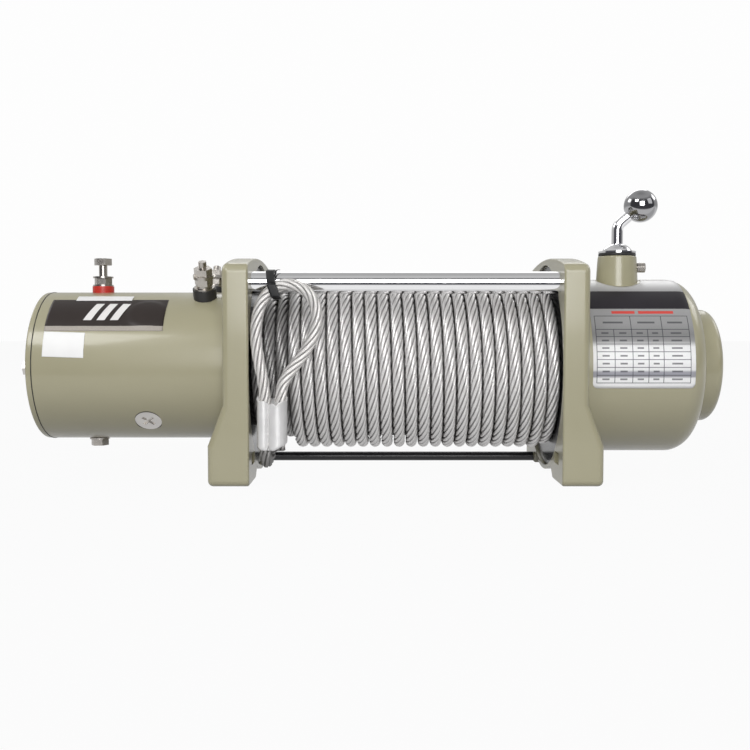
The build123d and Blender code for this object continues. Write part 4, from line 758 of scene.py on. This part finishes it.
def lay_rope(name, line, side, material):
    """Stranded rope along a line. A ring is the outline of six touching circles round a centre, and
    rings turn once for each lay length, so the grid's columns follow the strands. Across the map are a
    strand's wires, counted round its own centre and twisted against the lay. Up the map, 0 is in the
    groove between strands and 1 on a strand's crest."""
    run, first, second = line_frame(line, side)
    radius = np.tile(circle_reach(STRAND_CENTRE, STRAND_R, COLUMN_TURNS), STRANDS)
    turns = (COLUMN_TURNS + np.radians(360 / STRANDS) * np.arange(STRANDS)[:, None]).ravel()
    angle = turns + 2 * np.pi * run[:, None] / STRAND_LAY
    spread = np.cos(angle)[..., None] * first[:, None] + np.sin(angle)[..., None] * second[:, None]
    points = line[:, None] + radius[None, :, None] * spread
    points = np.concatenate([points.reshape(-1, 3), line[:1], line[-1:]])
    quads, caps = tube_faces(len(line), len(turns))
    edge = np.append(COLUMN_TURNS, -COLUMN_TURNS[0])
    reach = circle_reach(STRAND_CENTRE, STRAND_R, edge)
    own_turn = np.arctan2(reach * np.sin(edge), reach * np.cos(edge) - STRAND_CENTRE) / (2 * np.pi)
    along = np.stack([run[:-1], run[:-1], run[1:], run[1:]], -1)[:, None]
    across = WIRES * (at_corners(own_turn, len(line)) - along / WIRE_LAY)
    uv = np.stack([across, at_corners(np.cos(3 * edge), len(line))], -1)
    return put_mesh(name, points, [quads, caps], material, [uv, np.zeros((len(caps), 3, 2))])


def wire_finish(name, low, high, rough, painted_shade):
    """Galvanized wire: bright on each wire, with painted shade darker between wires and darkest in the
    grooves between strands.
    Painted shade is an axis, its share, and where along that axis it is deepest and where it has gone."""
    material, tree, shader = surface(name)
    place = split(tree, add(tree, "ShaderNodeUVMap", uv_map="surface").outputs[0])
    wire = arith(tree, "ABSOLUTE", arith(tree, "SINE", arith(tree, "MULTIPLY", place["X"], math.pi)))
    marks = finish_marks(tree, WIRE_SCALES)
    tone = blend(tree, marks["Patches"], low, high)
    # painted shade: darker between wires, darkest in the grooves between strands
    tone = blend(tree, between(tree, wire, 0.0, 1.0, 0.0, WIRE_EDGE), WIRE_GAP_SHADE_TONE, tone)
    tone = blend(tree, between(tree, place["Y"], 0.0, 1.0, 0.0, GROOVE_EDGE), GROOVE_SHADE_TONE, tone)
    axis, share, thick, gone = painted_shade
    spot = split(tree, add(tree, "ShaderNodeTexCoord").outputs["Object"])[axis]
    tone = blend(tree, between(tree, spot, share, 0.0, thick, gone), tone, PAINTED_SHADE_TONE)
    tree.links.new(tone, shader.inputs["Base Color"])
    tree.links.new(between(tree, marks["Patches"], *rough), shader.inputs["Roughness"])
    tree.links.new(relief(tree, wire, *WIRE_RELIEF), shader.inputs["Normal"])
    shader.inputs["Metallic"].default_value = WIRE_METALLIC
    return material


def drum_line(angles, x, radius):
    """Line round the drum: an angle past the bottom, in radians, leads to the front and over the top."""
    return np.stack([x, -radius * np.sin(angles), AXIS_Z - radius * np.cos(angles)], -1)


def turns_x(angles):
    """Place along the drum: x falls by a pitch for each turn, from the layer's place near its end."""
    return LAYER_X + ROPE_PITCH * (LAYER_TURN - angles) / (2 * np.pi)


def on_drum(piece, node):
    """Rope on the drum in place of its CAD node."""
    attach(piece, "drum")
    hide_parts(node)


def wound_rope(name, line, node):
    """Rope wound on the drum, its rings set out from the axis."""
    away = unit(line * [0, 1, 1] - [0, 0, AXIS_Z])
    on_drum(lay_rope(name, line, away, wound_wire), node)


# turns beside the motor-side flange are darkened by painted shade, as the layer below is
wound_wire = wire_finish(
    "wound_wire", (0.84, 0.825, 0.81), (0.96, 0.945, 0.93), (0.26, 0.38), ("X", 0.48, -0.086, -0.079)
)
# the outer layer climbs beside its flange, winds across, drops behind the drum to the layer below and
# leaves underneath
angles = np.arange(FIRST_TURN - CLIMB, LEAVE, RING_STEP / OUTER_R)
radius = OUTER_R - (OUTER_R - LOWER_R) * smooth_step(angles, *DROP)
radius = radius - (OUTER_R - LOWER_R) * np.clip((FIRST_TURN - angles) / CLIMB, 0, 1)
turns = drum_line(angles, np.minimum(turns_x(angles), LAYER_END_X), radius)
# its end goes straight on to where the tail takes over, clear of the turning rope, and drops with the
# square of the way
share = np.linspace(0, 1, STUB_RINGS + 1)[1:, None]
stub = turns[-1] + (STUB_END - turns[-1]) * np.concatenate([share, share, share**2], 1)
wound_rope("rope_outer_turns", np.concatenate([turns, stub]), "rope_outer_layer")

# the layer below shows one more turn beside the flange, which comes up from its layer and goes down
# again
angles = np.arange(*SHOWN, RING_STEP / LOWER_R)
up = smooth_step(angles, SHOWN[0], SHOWN[0] + SHOWN_RISE)
up = up * (1 - smooth_step(angles, SHOWN[1] - SHOWN_RISE, SHOWN[1]))
radius = BURIED_R + (LOWER_R - BURIED_R) * up
inner_line = drum_line(angles, np.maximum(turns_x(angles), -LAYER_END_X), radius)
wound_rope("rope_inner_turns_wire", inner_line, "rope_inner_turns")

# bed: a sleeve whose radius dips between turns wound the other way, r - dip (1 - |sin|), along a helix
# of one pitch
bed_x = np.concatenate([
    np.linspace(-BED_END_X, BED_STEP_X, BED_RINGS[0]), np.linspace(BED_STEP_X, BED_END_X, BED_RINGS[1])
])[:, None]
bed_turn = full_turn(BED_COLUMNS)
wave = np.abs(np.sin(np.pi * bed_x / ROPE_PITCH - bed_turn / 2))
bed_r = np.repeat(BED_R, BED_RINGS)[:, None] - BED_DIP * (1 - wave)
bed_y, bed_z = bed_r * np.cos(bed_turn), AXIS_Z + bed_r * np.sin(bed_turn)
rings = np.stack([np.broadcast_to(bed_x, bed_r.shape), bed_y, bed_z], -1)
ends = np.array([[-BED_END_X, 0, AXIS_Z], [BED_END_X, 0, AXIS_Z]])
# the bed's dark tone is painted shade between the turns, darkest in its strand grooves
bed_shade_finish, tree, shader = surface("rope_bed")
place = split(tree, add(tree, "ShaderNodeTexCoord").outputs["Object"])
round_drum = arith(tree, "ARCTAN2", arith(tree, "SUBTRACT", place["Z"], AXIS_Z), place["Y"])
lay = arith(tree, "MULTIPLY_ADD", round_drum, BED_STRANDS, arith(tree, "MULTIPLY", place["X"], BED_LAY))
strand = arith(tree, "ABSOLUTE", arith(tree, "SINE", lay))
marks = finish_marks(tree, WIRE_SCALES)
tone = blend(tree, marks["Grain"], (0.20, 0.195, 0.19), (0.34, 0.335, 0.33))
tone = blend(tree, between(tree, strand, 0.0, 1.0, 0.0, BED_EDGE), BED_GROOVE_SHADE_TONE, tone)
tree.links.new(tone, shader.inputs["Base Color"])
tree.links.new(between(tree, marks["Patches"], *BED_ROUGH), shader.inputs["Roughness"])
tree.links.new(relief(tree, strand, *BED_RELIEF), shader.inputs["Normal"])
shader.inputs["Metallic"].default_value = BED_METALLIC
on_drum(put_tube("rope_bed", rings, ends, bed_shade_finish), "rope_core")


# Rope tail: the last of the rope, which leaves the bottom of the drum, turns up through its ferrule,
# goes round the eye and back into the ferrule. It is held to the front bar by a nylon tie.
TAIL_SIDE_RUN = (0.062, 0.030)
# in mm from the drum's axis
TAIL_ROUTE = [
    (-98.6, -32.0, -56.1), (-99.1, -45.0, -59.0), (-100.1, -65.0, -67.2), (-100.2, -77.98, -66.65),
    (-100.2, -77.98, -54.0), (-100.2, -77.98, -14.2), (-106.4, -77.28, 12.0), (-107.2, -76.78, 34.0),
    (-101.0, -76.78, 54.0), (-84.5, -76.78, 62.5), (-68.0, -76.78, 55.5), (-61.8, -76.78, 38.0),
    (-68.5, -77.08, 16.0), (-84.4, -77.58, -3.0), (-90.4, -77.98, -16.2), (-90.4, -77.98, -57.8),
]


def smooth_line(route):
    """Points along a NURBS line whose control points are the route's, in mm from the drum's axis."""
    curve = bpy.data.curves.new("smooth_line", "CURVE")
    curve.dimensions = "3D"
    curve.resolution_u = 16
    spline = curve.splines.new("NURBS")
    spline.points.add(len(route) - 1)
    for point, (x, y, z) in zip(spline.points, route):
        point.co = (x / 1000, y / 1000, AXIS_Z + z / 1000, 1)
    spline.order_u = 3
    spline.use_endpoint_u = True
    holder = bpy.data.objects.new("smooth_line", curve)
    mesh = bpy.data.meshes.new_from_object(holder)
    line = np.empty(len(mesh.vertices) * 3)
    mesh.vertices.foreach_get("co", line)
    bpy.data.objects.remove(holder)
    bpy.data.curves.remove(curve)
    bpy.data.meshes.remove(mesh)
    return line.reshape(-1, 3)


tail_line = smooth_line(TAIL_ROUTE)
# the rings' side turns from x to y inside the ferrule, where both are square to the rope
side_start, side_length = TAIL_SIDE_RUN
to_y = np.clip((distance_along(tail_line) - side_start) / side_length, 0, 1)[:, None]
tail_side = (1 - to_y) * [1, 0, 0] + to_y * [0, 1, 0]
# below its ferrule it is darkened by painted shade, as the turns that it comes from are
tail_wire = wire_finish(
    "tail_wire", (0.74, 0.72, 0.695), (0.86, 0.84, 0.815), (0.36, 0.48), ("Z", 0.70, 0.027, 0.031)
)
tail = lay_rope("rope_tail_wire", tail_line, tail_side, tail_wire)
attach(tail, "frame")
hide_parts("rope_tail")


# Rope ferrule: an aluminium sleeve pressed over both ropes of the eye. The die leaves a narrow and a wide
# lobe with a groove between them, a rounded foot, and a rim that dips in front and is ragged where metal
# crept up.
FERRULE_X, FERRULE_Y = -0.0953, -0.07798
FERRULE_LOW, FERRULE_TOP = AXIS_Z - 0.0578, AXIS_Z - 0.0202
FERRULE_LOBES = ((-0.0062, 0.0049), (0.0036, 0.0070))
FERRULE_COLUMNS = 120
FOOT_BEND = np.linspace(0.25, np.pi / 2, 8)
FOOT_HIGH, FOOT_IN, FOOT_RISE = 0.09, 0.24, 0.0040
WALL_RISE = np.linspace(0.12, 0.97, 22)
RIM_RISE, RIM_SIZE = (0.99, 1.0, 0.985, 0.96), (1.025, 0.99, 0.90, 0.70)
RIM_DIP, RIM_RAGGED = 0.0042, 0.0007
FERRULE_SCALES = (90.0, 900.0, 150.0)
FERRULE_ROUGH = (0.34, 0.50)
FERRULE_METALLIC = 0.45
STREAK_STRETCH, STREAK_SCALE = (1, 1, 0.06), 900.0
STREAK_RELIEF = (0.25, 0.0003)
turn = full_turn(FERRULE_COLUMNS)
# outline: the farther of two circles on the x axis
reach = np.max([circle_reach(centre, lobe_r, turn) for centre, lobe_r in FERRULE_LOBES], axis=0)
# up the sleeve, the foot is a quarter of an ellipse, the wall is straight, and the rim rolls over a
# little and turns in
rise = np.concatenate([FOOT_HIGH * (1 - np.cos(FOOT_BEND)), WALL_RISE, RIM_RISE])[:, None]
foot_size = 1 - FOOT_IN + FOOT_IN * np.sin(FOOT_BEND)
size = np.concatenate([foot_size, np.ones_like(WALL_RISE), RIM_SIZE])[:, None]
low = FERRULE_LOW + FOOT_RISE * np.maximum(np.cos(turn), 0) ** 2
# ragged: a wave of 7 to the turn and a lower one of 13
ragged = RIM_RAGGED * (np.sin(7 * turn) + 0.6 * np.sin(13 * turn + 1))
top = FERRULE_TOP - RIM_DIP * np.maximum(-np.sin(turn), 0) + ragged
x = FERRULE_X + size * reach * np.cos(turn)
y = FERRULE_Y + size * reach * np.sin(turn)
z = low + rise * (top - low)
rings = np.stack([x, y, z], -1)
ends = np.array([[FERRULE_X, FERRULE_Y, z[0].mean()], [FERRULE_X, FERRULE_Y, z[-1].mean()]])
aluminium, tree, shader = surface("pressed_aluminium")
marks = finish_marks(tree, FERRULE_SCALES)
where = add(tree, "ShaderNodeTexCoord").outputs["Object"]
drawn_up = add(tree, "ShaderNodeMapping", {"Vector": where, "Scale": STREAK_STRETCH}).outputs[0]
tone = blend(tree, marks["Patches"], (0.66, 0.655, 0.65), (0.80, 0.795, 0.79))
tree.links.new(tone, shader.inputs["Base Color"])
tree.links.new(between(tree, marks["Patches"], *FERRULE_ROUGH), shader.inputs["Roughness"])
pressed = relief(tree, noise(tree, drawn_up, STREAK_SCALE, 2.0), *STREAK_RELIEF)
tree.links.new(pressed, shader.inputs["Normal"])
shader.inputs["Metallic"].default_value = FERRULE_METALLIC
ferrule = put_tube("rope_ferrule_pressed", rings, ends, aluminium)
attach(ferrule, "frame")
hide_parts("rope_ferrule")


# Cable tie: a black nylon band drawn tight round the front bar and the rope, with its head on the rope
# and its cut end curling out at the top.
TIE_WIDTH, TIE_T, TIE_CHAMFER = 0.0060, 0.0012, 0.0003
TIE_BAR_X, TIE_ROPE_X, TIE_LEAN = -0.0970, -0.0938, 0.35
TIE_BAR = (-0.06398, AXIS_Z + 0.06244, 0.0083)
TIE_ROPE_Y, TIE_ROPE_Z = -0.07678, AXIS_Z + 0.0570
TIE_ROPE_SPREAD, TIE_ROPE_R = 0.0009, 0.0049
TIE_ROWS = 180
HEAD_HALF = np.array([0.0033, 0.0020, 0.0046])
HEAD_DROP = 0.0012
HEAD_MIDDLE = np.array([0.0, TIE_ROPE_Y - TIE_ROPE_R - HEAD_HALF[1], TIE_ROPE_Z - HEAD_DROP])
HEAD_POWER = 0.22
HEAD_ROWS, HEAD_COLUMNS = 23, 48
CUT_END = [
    (-94.6, -77.5, 63.2), (-93.6, -73.6, 66.0), (-93.0, -71.8, 69.6), (-92.2, -69.4, 71.8),
    (-90.3, -67.4, 71.4),
]
CUT_HALF_WIDTH, CUT_HALF_T, CUT_TAPER = 0.0006, 0.0004, 0.6
CUT_COLUMNS = 16
tie_nylon = uneven_material(
    "tie_nylon", (0.008, 0.008, 0.009), (0.016, 0.016, 0.017), (0.26, 0.38), 0.0, Specular_IOR_Level=0.20
)


def tie_piece(piece):
    """Makes a piece part of the tie, which is fixed to the frame."""
    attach(piece, "frame")
    return piece


def tie_x(y, z):
    """Place along the bar: from over the bar the tie goes aside to the rope, and leans to lie square
    across it."""
    share = smooth_step(-y, -TIE_BAR[0], -TIE_ROPE_Y)
    return TIE_BAR_X + share * (TIE_ROPE_X - TIE_BAR_X + TIE_LEAN * (TIE_ROPE_Z - z))


# band: towards each direction it lies on the farthest of three circles, and its flat section is carried
# round that loop
circles = np.array([
    TIE_BAR,
    (TIE_ROPE_Y, TIE_ROPE_Z - TIE_ROPE_SPREAD, TIE_ROPE_R),
    (TIE_ROPE_Y, TIE_ROPE_Z + TIE_ROPE_SPREAD, TIE_ROPE_R),
])
angle = full_turn(TIE_ROWS)
towards = np.stack([np.cos(angle), np.sin(angle)], -1)
outermost = circles[(circles[:, :2] @ towards.T + circles[:, 2:]).argmax(0)]
half, cut = TIE_WIDTH / 2, TIE_CHAMFER
section = np.array([
    (0, half - cut), (0, cut - half), (cut, -half), (TIE_T - cut, -half),
    (TIE_T, cut - half), (TIE_T, half - cut), (TIE_T - cut, half), (cut, half),
])
outwards = outermost[:, None, 2] + section[:, 0]
y = outermost[:, None, 0] + outwards * towards[:, None, 0]
z = outermost[:, None, 1] + outwards * towards[:, None, 1]
loop = np.stack([tie_x(y, z) + section[:, 1], y, z], -1)
band = tie_piece(put_mesh("cable_tie_band", loop, [loop_faces(*loop.shape[:2])], tie_nylon))
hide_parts("cable_tie")


def raised(values):
    """Values raised to the head's small power, with their signs kept."""
    return np.sign(values) * np.abs(values) ** HEAD_POWER


# head: a block with rounded edges, cos u cos v, cos u sin v and sin u, each raised to a small power,
# that leans as the band does
u = np.linspace(-np.pi / 2, np.pi / 2, HEAD_ROWS + 2)[1:-1, None]
v = full_turn(HEAD_COLUMNS)
across, deep = raised(np.cos(u)) * raised(np.cos(v)), raised(np.cos(u)) * raised(np.sin(v))
rings = HEAD_MIDDLE + np.stack([across, deep, raised(np.sin(u)) + 0 * v], -1) * HEAD_HALF
ends = HEAD_MIDDLE + np.array([[0, 0, -1], [0, 0, 1]]) * HEAD_HALF
rings[..., 0] += tie_x(rings[..., 1], rings[..., 2])
ends[:, 0] += tie_x(ends[:, 1], ends[:, 2])
tie_piece(put_tube("cable_tie_head", rings, ends, tie_nylon))

# cut end: a flat ellipse carried along a smooth line, narrower at its tip by the cube of the way
line = smooth_line(CUT_END)
run, first, second = line_frame(line, np.broadcast_to([1.0, 0.0, 0.0], line.shape))
taper = (1 - CUT_TAPER * (run / run[-1]) ** 3)[:, None, None]
angle = full_turn(CUT_COLUMNS)[:, None]
wide = CUT_HALF_WIDTH * np.cos(angle) * first[:, None]
thick = CUT_HALF_T * np.sin(angle) * second[:, None]
rings = line[:, None] + taper * (wide + thick)
tie_piece(put_tube("cable_tie_cut_end", rings, line[[0, -1]], tie_nylon))
